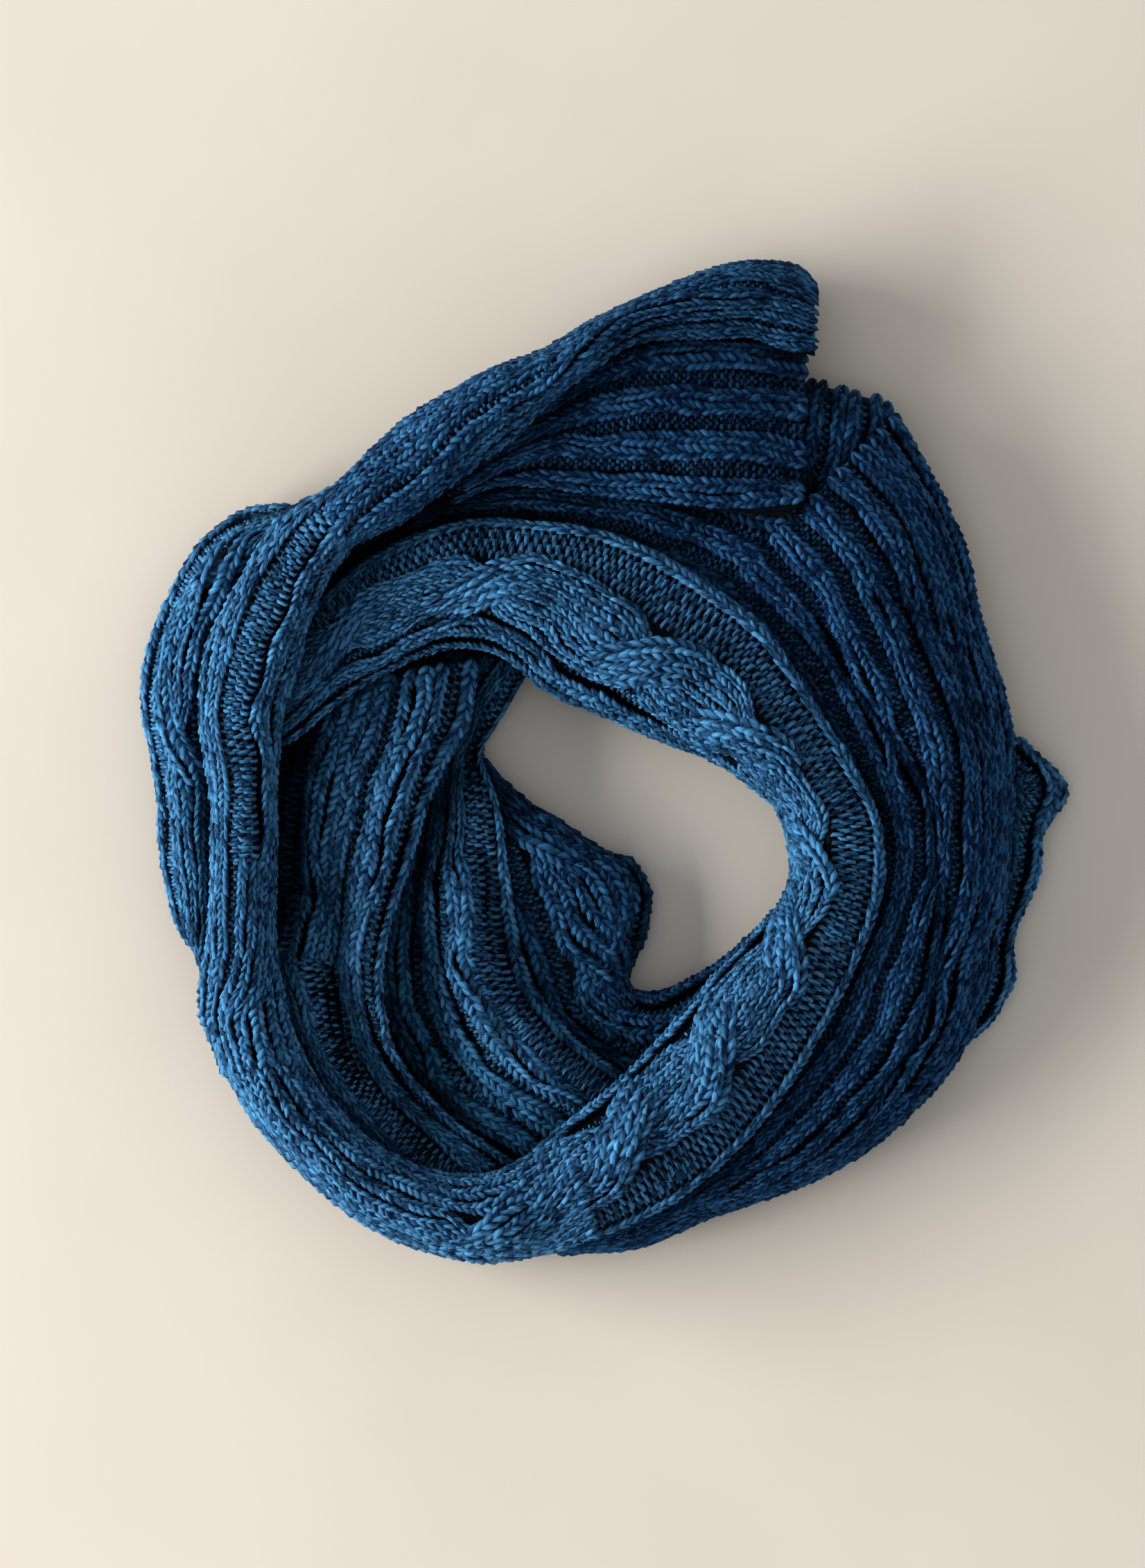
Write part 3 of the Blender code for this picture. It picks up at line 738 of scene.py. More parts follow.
def column_places(pattern, numbers, crossings):
    """Both edges of every wale across the stretch, from 0 to 1, its relief and its lean, by row."""
    wales = wale_columns(pattern)
    edge = np.concatenate([[0], np.cumsum([w["width"] for w in wales])])
    whole = edge[-1]
    rows = np.ones((len(numbers), 1))
    left, right = rows * edge[None, :-1], rows * edge[None, 1:]
    relief = rows * np.array([w["relief"] for w in wales])[None, :]
    lean = rows * np.array([w["side"] * LEAN[w["kind"]] for w in wales])[None, :]
    cable = [k for k, w in enumerate(wales) if w["kind"] == "C"]
    if cable and len(crossings):
        state = crossing_state(numbers, crossings)
        start, stop = edge[cable[0]], edge[cable[-1] + 1]
        swap_strands((left, right, relief, lean), cable, start, stop - start, state)
        for k in range(len(wales)):
            if k not in cable:
                for side in (left, right):
                    side[:, k] = pulled_in(side[:, k], start, stop, whole, state[1].max(axis=0))
    return left / whole, right / whole, relief, lean


print("columns of a small cable:", column_places("K1 C4 K1", np.arange(2.0), ())[0][0].round(2))

# %% [markdown]
# ## From columns to places on the cloth
#
# Each wale of a real strip wanders a little, because no hand lays cloth quite straight, and one
# row stands a little higher than the next. The columns are measured along the arch of each row,
# moved by slow waves, and each stitch is then lifted out of the cloth by its column's relief. Where
# the pattern changes along a stretch, the old columns shift over into the new ones.

# %% Helpers that measure and place along the cloth
SWAY_LENGTHS = ((29.0, 19.0), (45.0, 31.0), (71.0, 44.0))
SWAY_SIZE = 0.6
SMALLEST = 1e-9


def arch_run(base):
    """The distance along the arch from a row's outer edge to each of its points."""
    run = np.cumsum(np.linalg.norm(np.diff(base, axis=1), axis=2), axis=1)
    return np.hstack([np.zeros((len(base), 1)), run])


def on_cloth(base, run, s):
    """Points of a grid of cloth at the distances s along each of its rows."""
    out = np.empty(s.shape + (3,))
    for i in range(len(base)):
        for axis in range(3):
            out[i, :, axis] = np.interp(s[i], run[i], base[i, :, axis])
    return out


def unit(vectors):
    """The same directions with a length of one."""
    return vectors / np.maximum(np.linalg.norm(vectors, axis=-1, keepdims=True), SMALLEST)


def hand_sway(numbers, s, whole, seed):
    """How far hand-laid wales wander sideways, in millimetres, a little less near the edges."""
    chance = np.random.default_rng(seed)
    sway = np.zeros(s.shape)
    for length, reach in SWAY_LENGTHS:
        along, over = chance.uniform(0, 2 * math.pi, 2)
        rows = np.sin(2 * math.pi * numbers * ROW / length + along)[:, None]
        sway += rows * np.sin(2 * math.pi * s / reach + over)
    return SWAY_SIZE * sway * np.clip(4 * s * (whole - s) / whole**2, 0, 1)


def facing_up(normals):
    """The same normals of a stretch, turned over if they point down."""
    return -normals if normals[:, :, 2].mean() < 0 else normals


print("waves in the sway of each wale:", len(SWAY_LENGTHS))

# %% The pattern of a stretch, row by row
CHANGE_RUN = 0.7
CHANGE_LIFT = 1.6
CHANGE_PEAK = 0.7
CHANGE_SPAN = 0.3


def knit_wales(pattern):
    """Which wales of a pattern are knit and not purl."""
    return np.array([[w["kind"] != "P" for w in wale_columns(pattern)]])


def pattern_rows(spec, places, numbers):
    """Edges, relief and lean of every wale by row, and which stitches are knit."""
    crossings = np.interp(spec.get("cross", ()), places, numbers)
    early = column_places(spec["wales"], numbers, crossings)
    knit = np.repeat(knit_wales(spec["wales"]), len(numbers), axis=0)
    if "later" not in spec:
        return *early, knit
    turn, pattern = spec["later"]
    late = column_places(pattern, numbers, crossings)
    t = np.clip((places - turn) / CHANGE_RUN + 0.5, 0, 1)[:, None]
    left, right, relief, lean = [a * (1 - t) + b * t for a, b in zip(early, late)]
    changed = knit != knit_wales(pattern)
    knit = np.where(t > 0.5, knit_wales(pattern), knit)
    bridge = np.clip(1 - np.abs(t - CHANGE_PEAK) / CHANGE_SPAN, 0, 1)
    return left, right, relief + CHANGE_LIFT * changed * bridge, lean, knit


first_rows = pattern_rows(STRETCHES["end_flap"], np.arange(2.0), np.arange(2.0))
print("knit wales of the end flap:", int(first_rows[4][0].sum()), "of", first_rows[4].shape[1])

# %% Lay the stitches of a stretch out on its cloth
EDGE_INSET = 2.0
EDGE_REACH = 1.5
EDGE_SKIP = 0.1 * WALE
EDGE_ROOM = 0.3
LEAST_WIDTH = 0.3
UNEVEN = 0.2
UNEVEN_RUN = 9
UNEVEN_SHIFT = 1.1


def stitch_plan(base, places, spec, seed):
    """Place, directions, size and kind of every stitch of a stretch, row by row."""
    run = arch_run(base)
    numbers = np.arange(len(base), dtype=float)
    left, right, relief, lean, knit = pattern_rows(spec, places, numbers)
    wales = np.arange(knit.shape[1])
    drift = spec.get("drift", 0.0) * (numbers / numbers[-1] - 0.5)[:, None] / len(wales)
    whole = run[:, -1:]
    left, right = (left + drift) * whole, (right + drift) * whole
    left = left + hand_sway(numbers, left, whole, seed)
    right = right + hand_sway(numbers, right, whole, seed)
    relief = relief * spec.get("relief", 1.0)
    uneven = np.sin(numbers[:, None] * ROW / UNEVEN_RUN + UNEVEN_SHIFT * wales + seed)
    relief = relief * (1 + UNEVEN * uneven)
    s = (left + right) / 2
    inside = (s > EDGE_SKIP) & (s < whole - EDGE_SKIP)
    s = np.clip(s, EDGE_ROOM, whole - EDGE_ROOM)
    at = on_cloth(base, run, s)
    across = on_cloth(base, run, right) - on_cloth(base, run, left)
    across *= ((right - left) / np.maximum(np.linalg.norm(across, axis=2), LEAST_WIDTH))[:, :, None]
    along = np.gradient(at, axis=0)
    out = facing_up(unit(np.cross(across, along)))
    near_edge = np.minimum(s, whole - s) / WALE
    relief = relief - EDGE_INSET * np.clip(EDGE_REACH - near_edge, 0, 1)
    skin = at
    at = at + out * relief[:, :, None]
    along = np.gradient(at, axis=0)
    out = unit(out * np.cos(lean)[:, :, None] + unit(across) * np.sin(lean)[:, :, None])
    size = np.dstack([right - left, np.linalg.norm(along, axis=2), np.ones(s.shape)])
    return dict(at=at, skin=skin, along=along, out=out, size=size, knit=knit, inside=inside)


print("edge wales sink by", EDGE_INSET, "mm at most")

# %% [markdown]
# ## Leaving out the stitches that nobody can see
#
# Where one stretch lies on another, the lower one's stitches are buried. Rays leave each stitch on
# its own side of the cloth, straight up and slanting outward. It is kept when at least one of them
# gets past all the cloth, or when a stitch beside it is kept for that. The ground goes on
# underneath, so nothing is left open. The share of rays that get past is kept too, smoothed with
# the stitches beside it: it sets the painted shade of the wool, darker deep in a fold than on a
# crest.

# %% Which stitches show
LOOK_HEIGHTS = (0.35, 0.9)
LOOK_TURNS = 8
LOOK_START = 1.5
LOOKS = [Vector((0.0, 0.0, 1.0))]
for height in LOOK_HEIGHTS:
    for turn in range(LOOK_TURNS):
        angle = (turn + height) * 2 * math.pi / LOOK_TURNS
        flat = math.cos(height)
        LOOKS.append(Vector((flat * math.cos(angle), flat * math.sin(angle), math.sin(height))))


def shown(plan, tree, looks=LOOKS):
    """Which stitches of a stretch can be seen from above, and how open to the sky each one is."""
    start = plan["skin"] + plan["out"] * LOOK_START
    free = np.zeros(plan["inside"].shape)
    for i, k in np.argwhere(plan["inside"]):
        place, side = Vector(start[i, k]), Vector(plan["out"][i, k])
        leaving = [look for look in looks if look.dot(side) > 0]
        past = [look for look in leaving if tree.ray_cast(place, look)[0] is None]
        free[i, k] = len(past) / max(len(leaving), 1)
    wide = np.pad(free, 1, mode="edge")
    beside = (wide[:-2, 1:-1], wide[2:, 1:-1], wide[1:-1, :-2], wide[1:-1, 2:])
    seen = np.maximum.reduce([free, *beside]) > 0
    return seen & plan["inside"], (2 * free + sum(beside)) / 6


print("rays from each stitch:", len(LOOKS))

# %% [markdown]
# ## Two stitches to repeat
#
# A knit stitch shows as a V: two legs of yarn that come up from under the stitch below and lean
# apart. A purl stitch shows as two short bumps, one arching up and one arching down beside it. Both
# are small closed tubes with a four-sided section, because they are repeated thousands of times,
# and smooth shading makes them look round. Their U coordinate runs along the yarn and V round it.

# %% A short piece of yarn
TUBE_SIDES = 4
YARN_SHIFT = 1.37


def add_yarn(points, faces, coordinates, path, u_start):
    """Adds a closed tube along a path of (x, y, z, radius), in millimetres."""
    centre = np.array([p[:3] for p in path], float)
    heading = unit(np.gradient(centre, axis=0))
    beside = unit(np.cross(heading, [0.0, 0.0, 1.0]))
    above = np.cross(beside, heading)
    first = len(points)
    for i, (x, y, z, radius) in enumerate(path):
        for k in range(TUBE_SIDES):
            angle = 2 * math.pi * k / TUBE_SIDES
            ring = beside[i] * math.cos(angle) + above[i] * math.sin(angle)
            points.append(tuple((centre[i] + ring * radius)))
    last = len(path) - 1
    for i in range(last):
        for k in range(TUBE_SIDES):
            m = (k + 1) % TUBE_SIDES
            a, b = first + i * TUBE_SIDES + k, first + i * TUBE_SIDES + m
            faces.append((a, b, b + TUBE_SIDES, a + TUBE_SIDES))
            u0, u1 = u_start + i / last, u_start + (i + 1) / last
            v0, v1 = k / TUBE_SIDES, (k + 1) / TUBE_SIDES
            coordinates.append([(u0, v0), (u0, v1), (u1, v1), (u1, v0)])
    for i, turn in ((0, -1), (last, 1)):
        ring = [first + i * TUBE_SIDES + k for k in range(TUBE_SIDES)][::turn]
        faces.append(tuple(ring))
        coordinates.append([(u_start + i / last, k / TUBE_SIDES) for k in range(TUBE_SIDES)])


def stitch_template(name, paths):
    """A small mesh of several pieces of yarn."""
    points, faces, coordinates = [], [], []
    for number, path in enumerate(paths):
        add_yarn(points, faces, coordinates, path, YARN_SHIFT * number)
    mesh = bpy.data.meshes.new(name)
    mesh.from_pydata((np.array(points) * MM).tolist(), [], faces)
    layer = mesh.uv_layers.new(name="UVMap")
    flat = [pair for face in coordinates for pair in face]
    layer.data.foreach_set("uv", np.array(flat, float).ravel())
    mesh.shade_smooth()
    mesh.update()
    template = bpy.data.objects.new(name, mesh)
    bpy.context.scene.collection.objects.link(template)
    return template


print("sides of the yarn:", TUBE_SIDES)

# %% The two stitches, each path as x, y, z and radius in millimetres
LEG = [(0.1, -0.9, -1.1, 0.5), (0.55, 0.6, 0.1, 0.95), (1.3, 2.5, 0.25, 0.98), (1.5, 4.0, -0.8, 0.5)]
OTHER_LEG = [(-x, y, z, radius) for x, y, z, radius in LEG]
OVER = [(-1.9, 0.0, -0.9, 0.5), (-0.9, 0.8, 0.35, 0.8), (0.9, 0.8, 0.35, 0.8), (1.9, 0.0, -0.9, 0.5)]
UNDER = [(0.2, 2.7, -0.9, 0.5), (1.2, 2.1, 0.15, 0.7), (2.8, 2.1, 0.15, 0.7), (3.8, 2.7, -0.9, 0.5)]
knit_stitch = stitch_template("knit_stitch", [LEG, OTHER_LEG])
purl_stitch = stitch_template("purl_stitch", [OVER, UNDER])
for template in (knit_stitch, purl_stitch):
    template.data.calc_loop_triangles()
    print(template.name, "has", len(template.data.loop_triangles), "triangles")

# %% [markdown]
# ## Geometry Nodes put the stitches in place
#
# Each stretch hands over a cloud of points. A point knows whether it is knit or purl, which way is
# out of the cloth, which way the wale runs and how large the stitch is there. The node tree picks
# the right stitch for each point, turns its Z axis out of the cloth and its Y axis along the wale,
# scales it, and at the end makes the copies real and gives them the yarn.

# %% The node tree that knits
def knitting_tree():
    """A Geometry Nodes tree: points in, knitted stitches out."""
    tree = bpy.data.node_groups.new("knit_stitches_on_points", "GeometryNodeTree")
    make = tree.interface.new_socket
    make("Points", in_out="INPUT", socket_type="NodeSocketGeometry")
    make("Knit stitch", in_out="INPUT", socket_type="NodeSocketObject")
    make("Purl stitch", in_out="INPUT", socket_type="NodeSocketObject")
    make("Yarn", in_out="INPUT", socket_type="NodeSocketMaterial")
    fullness = make("Fullness", in_out="INPUT", socket_type="NodeSocketFloat")
    fullness.default_value = 1.0
    make("Stitches", in_out="OUTPUT", socket_type="NodeSocketGeometry")
    node, link = tree.nodes.new, tree.links.new
    start, end = node("NodeGroupInput"), node("NodeGroupOutput")

    def stored(name, data_type):
        read = node("GeometryNodeInputNamedAttribute")
        read.data_type = data_type
        read.inputs["Name"].default_value = name
        return read.outputs["Attribute"]

    turn = node("FunctionNodeAxesToRotation")
    turn.primary_axis, turn.secondary_axis = "Z", "Y"
    link(stored("out", "FLOAT_VECTOR"), turn.inputs["Primary Axis"])
    link(stored("along", "FLOAT_VECTOR"), turn.inputs["Secondary Axis"])
    full = node("ShaderNodeCombineXYZ")
    full.inputs["X"].default_value = full.inputs["Y"].default_value = 1.0
    link(start.outputs["Fullness"], full.inputs["Z"])
    size = node("ShaderNodeVectorMath")
    size.operation = "MULTIPLY"
    link(stored("size", "FLOAT_VECTOR"), size.inputs[0])
    link(full.outputs["Vector"], size.inputs[1])
    join = node("GeometryNodeJoinGeometry")
    for wanted, socket in ((1, "Knit stitch"), (0, "Purl stitch")):
        pick = node("FunctionNodeCompare")
        pick.data_type, pick.operation = "INT", "EQUAL"
        link(stored("knit", "INT"), pick.inputs["A"])
        pick.inputs["B"].default_value = wanted
        info = node("GeometryNodeObjectInfo")
        info.inputs["As Instance"].default_value = True
        link(start.outputs[socket], info.inputs["Object"])
        place = node("GeometryNodeInstanceOnPoints")
        link(start.outputs["Points"], place.inputs["Points"])
        link(pick.outputs["Result"], place.inputs["Selection"])
        link(info.outputs["Geometry"], place.inputs["Instance"])
        link(turn.outputs["Rotation"], place.inputs["Rotation"])
        link(size.outputs["Vector"], place.inputs["Scale"])
        link(place.outputs["Instances"], join.inputs["Geometry"])
    real = node("GeometryNodeRealizeInstances")
    link(join.outputs["Geometry"], real.inputs["Geometry"])
    dye = node("GeometryNodeSetMaterial")
    link(real.outputs["Geometry"], dye.inputs["Geometry"])
    link(start.outputs["Yarn"], dye.inputs["Material"])
    link(dye.outputs["Geometry"], end.inputs["Stitches"])
    return tree


knitting = knitting_tree()
SOCKETS = {item.name: item.identifier for item in knitting.interface.items_tree}
print("inputs of the tree:", [name for name in SOCKETS if name != "Stitches"])

# %% [markdown]
# ## The marled wool
#
# The yarn has two plies twisted together: one nearly navy, one a clear mid blue. Every bit of yarn
# shows a slanting stripe of one or the other, the wool is streaky along its fibres, and the dye is
# a little uneven from one part of the scarf to the next. A picture of knitting could be wrapped on,
# but it would blur close up. So it is worked out by nodes: first three helpers that build them.

# %% Helpers for shader nodes
NOISE_LOW, NOISE_HIGH = 0.3, 0.7


def new_group(name, inputs, outputs):
    """An empty shader node group with named sockets, and its input and output nodes."""
    tree = bpy.data.node_groups.new(name, "ShaderNodeTree")
    for label, kind, value in inputs:
        socket = tree.interface.new_socket(label, in_out="INPUT", socket_type=kind)
        if value is not None:
            socket.default_value = value
    for label, kind in outputs:
        tree.interface.new_socket(label, in_out="OUTPUT", socket_type=kind)
    return tree, tree.nodes.new("NodeGroupInput"), tree.nodes.new("NodeGroupOutput")


def arithmetic(tree, operation, first, second=None, third=None):
    """A Math node between sockets or plain numbers."""
    node = tree.nodes.new("ShaderNodeMath")
    node.operation = operation
    for index, value in enumerate((first, second, third)):
        if isinstance(value, bpy.types.NodeSocket):
            tree.links.new(value, node.inputs[index])
        elif value is not None:
            node.inputs[index].default_value = value
    return node.outputs[0]


def noise(tree, vector, scale, detail=2.0, roughness=0.5):
    """A noise that spreads over 0 to 1 along a vector."""
    node = tree.nodes.new("ShaderNodeTexNoise")
    tree.links.new(vector, node.inputs["Vector"])
    node.inputs["Scale"].default_value = scale
    node.inputs["Detail"].default_value = detail
    node.inputs["Roughness"].default_value = roughness
    wide = tree.nodes.new("ShaderNodeMapRange")
    wide.inputs["From Min"].default_value = NOISE_LOW
    wide.inputs["From Max"].default_value = NOISE_HIGH
    tree.links.new(node.outputs["Fac"], wide.inputs["Value"])
    return wide.outputs["Result"]


print("noise from", NOISE_LOW, "to", NOISE_HIGH, "is spread over 0 to 1")

# %% [markdown]
# ## Shade painted into wool in a fold
#
# Deep in a fold hardly any light arrives, and what does has bounced off blue wool and grown bluer.
# A render with few bounces loses some of that, so shade is painted into the wool's colour. Each
# stitch carries how open it is to the sky, and its colour is dimmed by that share, red the most and
# blue the least. The ground lies deeper than any stitch, so it carries no such value and gets the
# darkest painted shade.

# %% A helper that paints shade into a colour by how open a stitch is to the sky
SHADE_FROM = (0.25, 1.0)
SHADE_TO = (0.15, 1.04)
SHADE_POWERS = (1.8, 1.1, 1.0)


def painted_fold_shade(tree, colour):
    """Painted shade: a colour multiplied by a curve of the attribute open, one curve for each
    channel.
    """
    sky = tree.nodes.new("ShaderNodeAttribute")
    sky.attribute_name = "open"
    lit = tree.nodes.new("ShaderNodeMapRange")
    lit.interpolation_type = "SMOOTHSTEP"
    for label, value in zip(("From Min", "From Max", "To Min", "To Max"), SHADE_FROM + SHADE_TO):
        lit.inputs[label].default_value = value
    tree.links.new(sky.outputs["Fac"], lit.inputs["Value"])
    factors = tree.nodes.new("ShaderNodeCombineXYZ")
    for channel, power in enumerate(SHADE_POWERS):
        curve = arithmetic(tree, "POWER", lit.outputs["Result"], power)
        tree.links.new(curve, factors.inputs[channel])
    shaded = tree.nodes.new("ShaderNodeVectorMath")
    shaded.operation = "MULTIPLY"
    tree.links.new(colour, shaded.inputs[0])
    tree.links.new(factors.outputs["Vector"], shaded.inputs[1])
    return shaded.outputs["Vector"]


print("a stitch deep in a fold keeps", SHADE_TO[0], "of its blue")

# %% [markdown]
# ## One node group for every yarn
#
# The group takes the two colours, how tightly the plies twist and how much of the light one shows.
# It puts out a colour, a roughness and a height for the bump. The stripe of the plies, the fibres,
# small patches and the uneven dye are added up with the shares below, and the contrast then sets
# how sharply the two colours part. Last, painted shade from the folds is laid on the colour.

# %% A node group for marled wool
PLY_SHARE, FIBRE_SHARE, PATCH_SHARE, DYE_SHARE = 0.40, 0.36, 0.18, 0.16
ALL_SHARES = PLY_SHARE + FIBRE_SHARE + PATCH_SHARE + DYE_SHARE
CONTRAST = 1.5
FIBRE_SCALES = {"X": 2.2, "Y": 14.0, "Z": 97.0}
PATCH_SCALE, DYE_SCALE = 210.0, 45.0


def marled_wool_group():
    """Colour with painted fold shade, roughness and height of two-ply marled yarn."""
    tree, start, end = new_group(
        "marled_wool",
        [
            ("Dark ply", "NodeSocketColor", (0.010, 0.040, 0.095, 1)),
            ("Light ply", "NodeSocketColor", (0.120, 0.330, 0.520, 1)),
            ("Twist", "NodeSocketFloat", 0.5),
            ("Light share", "NodeSocketFloat", 0.5),
        ],
        [
            ("Color", "NodeSocketColor"),
            ("Roughness", "NodeSocketFloat"),
            ("Height", "NodeSocketFloat"),
        ],
    )
    link = tree.links.new
    wound = tree.nodes.new("ShaderNodeUVMap")
    wound.uv_map = "UVMap"
    parts = tree.nodes.new("ShaderNodeSeparateXYZ")
    link(wound.outputs["UV"], parts.inputs["Vector"])
    own = tree.nodes.new("ShaderNodeAttribute")
    own.attribute_name = "marl"
    place = tree.nodes.new("ShaderNodeTexCoord").outputs["Object"]
    u, v, marl = parts.outputs["X"], parts.outputs["Y"], own.outputs["Fac"]
    twisted = arithmetic(tree, "MULTIPLY_ADD", u, start.outputs["Twist"], v)
    angle = arithmetic(tree, "MULTIPLY", arithmetic(tree, "ADD", twisted, marl), 2 * math.pi)
    ply = arithmetic(tree, "MULTIPLY_ADD", arithmetic(tree, "SINE", angle), 0.5, 0.5)
    fibre_place = tree.nodes.new("ShaderNodeCombineXYZ")
    for (axis, scale), value in zip(FIBRE_SCALES.items(), (u, v, marl)):
        link(arithmetic(tree, "MULTIPLY", value, scale), fibre_place.inputs[axis])
    fibres = noise(tree, fibre_place.outputs["Vector"], 1.0, 3.0, 0.6)
    dye = noise(tree, place, DYE_SCALE, 2.0, 0.6)
    patches = noise(tree, place, PATCH_SCALE, 2.0, 0.6)
    share = arithmetic(tree, "MULTIPLY", ply, PLY_SHARE)
    for part, weight in ((fibres, FIBRE_SHARE), (patches, PATCH_SHARE), (dye, DYE_SHARE)):
        share = arithmetic(tree, "MULTIPLY_ADD", part, weight, share)
    least = arithmetic(tree, "SUBTRACT", ALL_SHARES, start.outputs["Light share"])
    share = arithmetic(tree, "SUBTRACT", share, least)
    share = arithmetic(tree, "MULTIPLY_ADD", share, CONTRAST, 0.5)
    blend = tree.nodes.new("ShaderNodeMix")
    blend.data_type, blend.clamp_factor = "RGBA", True
    link(share, blend.inputs["Factor"])
    link(start.outputs["Dark ply"], blend.inputs["A"])
    link(start.outputs["Light ply"], blend.inputs["B"])
    link(painted_fold_shade(tree, blend.outputs["Result"]), end.inputs["Color"])
    link(arithmetic(tree, "MULTIPLY_ADD", fibres, 0.15, 0.45), end.inputs["Roughness"])
    link(arithmetic(tree, "MULTIPLY_ADD", ply, 0.35, fibres), end.inputs["Height"])
    return tree


marled_wool = marled_wool_group()
print("nodes in the wool group:", len(marled_wool.nodes))

# %% [markdown]
# ## One yarn, two copies of it with painted shade, and the ground
#
# One mix of the two plies is the yarn in full light, for the left side, the bottom, the bowl and
# the cabled band. Two copies have a duller light ply and show less of it: they are painted shade
# for stretches that lie away from the light. The middle one is for the rolled end and the corner
# in the hole. The darker one is for the flap, the turned triangle, the outer band over the top and
# down the right, the inner stretch at the lower right of the hole, and the edges of the hidden
# layers. The ground under the stitches is wool in painted shade. Wool is matt, and a little sheen
# gives the soft bright edge of its loose fibres.

# %% The yarns
BUMP_STRENGTH = 0.7
YARN_BUMP, GROUND_BUMP = 0.0004, 0.0006


def wool_material(name, dark, light, light_share, bump):
    """Matt marled wool, with the soft bright edge that its loose fibres give it."""
    material = bpy.data.materials.new(name)
    material.use_nodes = True
    tree = material.node_tree
    shader = tree.nodes["Principled BSDF"]
    wool = tree.nodes.new("ShaderNodeGroup")
    wool.node_tree = marled_wool
    wool.inputs["Dark ply"].default_value = (*dark, 1)
    wool.inputs["Light ply"].default_value = (*light, 1)
    wool.inputs["Light share"].default_value = light_share
    tree.links.new(wool.outputs["Color"], shader.inputs["Base Color"])
    tree.links.new(wool.outputs["Roughness"], shader.inputs["Roughness"])
    raised = tree.nodes.new("ShaderNodeBump")
    raised.inputs["Strength"].default_value = BUMP_STRENGTH
    raised.inputs["Distance"].default_value = bump
    tree.links.new(wool.outputs["Height"], raised.inputs["Height"])
    tree.links.new(raised.outputs["Normal"], shader.inputs["Normal"])
    shader.inputs["Sheen Weight"].default_value = 0.06
    shader.inputs["Sheen Roughness"].default_value = 0.4
    shader.inputs["Sheen Tint"].default_value = (0.25, 0.60, 0.95, 1)
    shader.inputs["Specular IOR Level"].default_value = 0.07
    return material


NAVY, SKY_BLUE = (0.0004, 0.013, 0.053), (0.104, 0.335, 0.585)
# Duller light plies for the copies of the yarn in painted half shade and painted shade
PAINTED_HALF_SHADE_BLUE, PAINTED_SHADE_BLUE = (0.066, 0.240, 0.450), (0.048, 0.190, 0.385)
# Near-black plies of the ground, painted shade for the gaps between stitches
GROUND_SHADE_NAVY, GROUND_SHADE_BLUE = (0.002, 0.008, 0.024), (0.008, 0.035, 0.080)
blue_yarn = wool_material("marled_blue_yarn", NAVY, SKY_BLUE, 0.50, YARN_BUMP)
painted_half_shade_yarn = wool_material("painted_half_shade_marled_yarn", NAVY, PAINTED_HALF_SHADE_BLUE, 0.46, YARN_BUMP)
painted_shade_yarn = wool_material("painted_shade_marled_yarn", NAVY, PAINTED_SHADE_BLUE, 0.42, YARN_BUMP)
painted_shade_ground = wool_material("painted_shade_ground_wool", GROUND_SHADE_NAVY, GROUND_SHADE_BLUE, 0.4, GROUND_BUMP)
wools = (blue_yarn, painted_half_shade_yarn, painted_shade_yarn, painted_shade_ground)
print("materials:", ", ".join(wool.name for wool in wools))

# %% [markdown]
# ## The ground of a stretch
#
# Between real stitches the eye meets more wool, never daylight. Modelling the yarn's whole way
# through the back of the cloth would cost many times the faces, so the ground is a closed sheet of
# wool in painted shade, darker than any yarn. Its outer side lies just below the stitches, and its
# underside is the imported one.

# %% A closed sheet as the ground
GROUND_SINK = 1.3
GROUND_TOP = 0.6
GROUND_LOWEST = -2.4
GROUND_EDGE = -0.8


def closed_sheet(outer, inner):
    """Points and faces of a closed wall between two grids of points."""
    rows, columns = outer.shape[:2]
    points = np.concatenate([outer.reshape(-1, 3), inner.reshape(-1, 3)])
    half = rows * columns
    faces = []
    for i in range(rows - 1):
        for j in range(columns - 1):
            a = i * columns + j
            faces.append((a, a + columns, a + columns + 1, a + 1))
            faces.append((half + a + 1, half + a + columns + 1, half + a + columns, half + a))
    rim = list(range(columns)) + [i * columns + columns - 1 for i in range(1, rows)]
    rim += [(rows - 1) * columns + j for j in range(columns - 2, -1, -1)]
    rim += [i * columns for i in range(rows - 2, 0, -1)]
    for a, b in zip(rim, rim[1:] + rim[:1]):
        faces.append((a, b, half + b, half + a))
    middle = outer[rows // 2 : rows // 2 + 2, columns // 2 : columns // 2 + 2]
    if np.cross(middle[1, 0] - middle[0, 0], middle[0, 1] - middle[0, 0])[2] < 0:
        faces = [face[::-1] for face in faces]
    return points, faces


def ground_sheet(base, inside, spec):
    """The closed ground of a stretch, one row for two rows of stitches and two columns a wale."""
    run = arch_run(base)
    wales = wale_columns(spec["wales"])
    width = np.array([w["width"] for w in wales])
    edge = np.concatenate([[0], np.cumsum(width)]) / width.sum()
    centres = (edge[:-1] + edge[1:]) / 2
    share = np.sort(np.concatenate([edge, centres]))
    s = share[None, :] * run[:, -1:]
    outer = on_cloth(base, run, s)
    v = np.array([np.interp(s[i], run[i], V_FINE) for i in range(len(base))])
    under = np.empty_like(outer)
    for i in range(len(base)):
        for axis in range(3):
            under[i, :, axis] = np.interp(v[i], V_FINE, inside[i, :, axis])
    relief = [min(w["relief"], GROUND_TOP) for w in wales]
    sink = np.maximum(np.interp(share, centres, relief) - GROUND_SINK, GROUND_LOWEST)
    sink[0] = sink[-1] = GROUND_EDGE
    normal = unit(np.cross(np.gradient(outer, axis=1), np.gradient(outer, axis=0)))
    outer = outer + facing_up(normal) * sink[None, :, None]
    keep = sorted(set(range(0, len(base), 2)) | {len(base) - 1})
    return closed_sheet(outer[keep], under[keep])


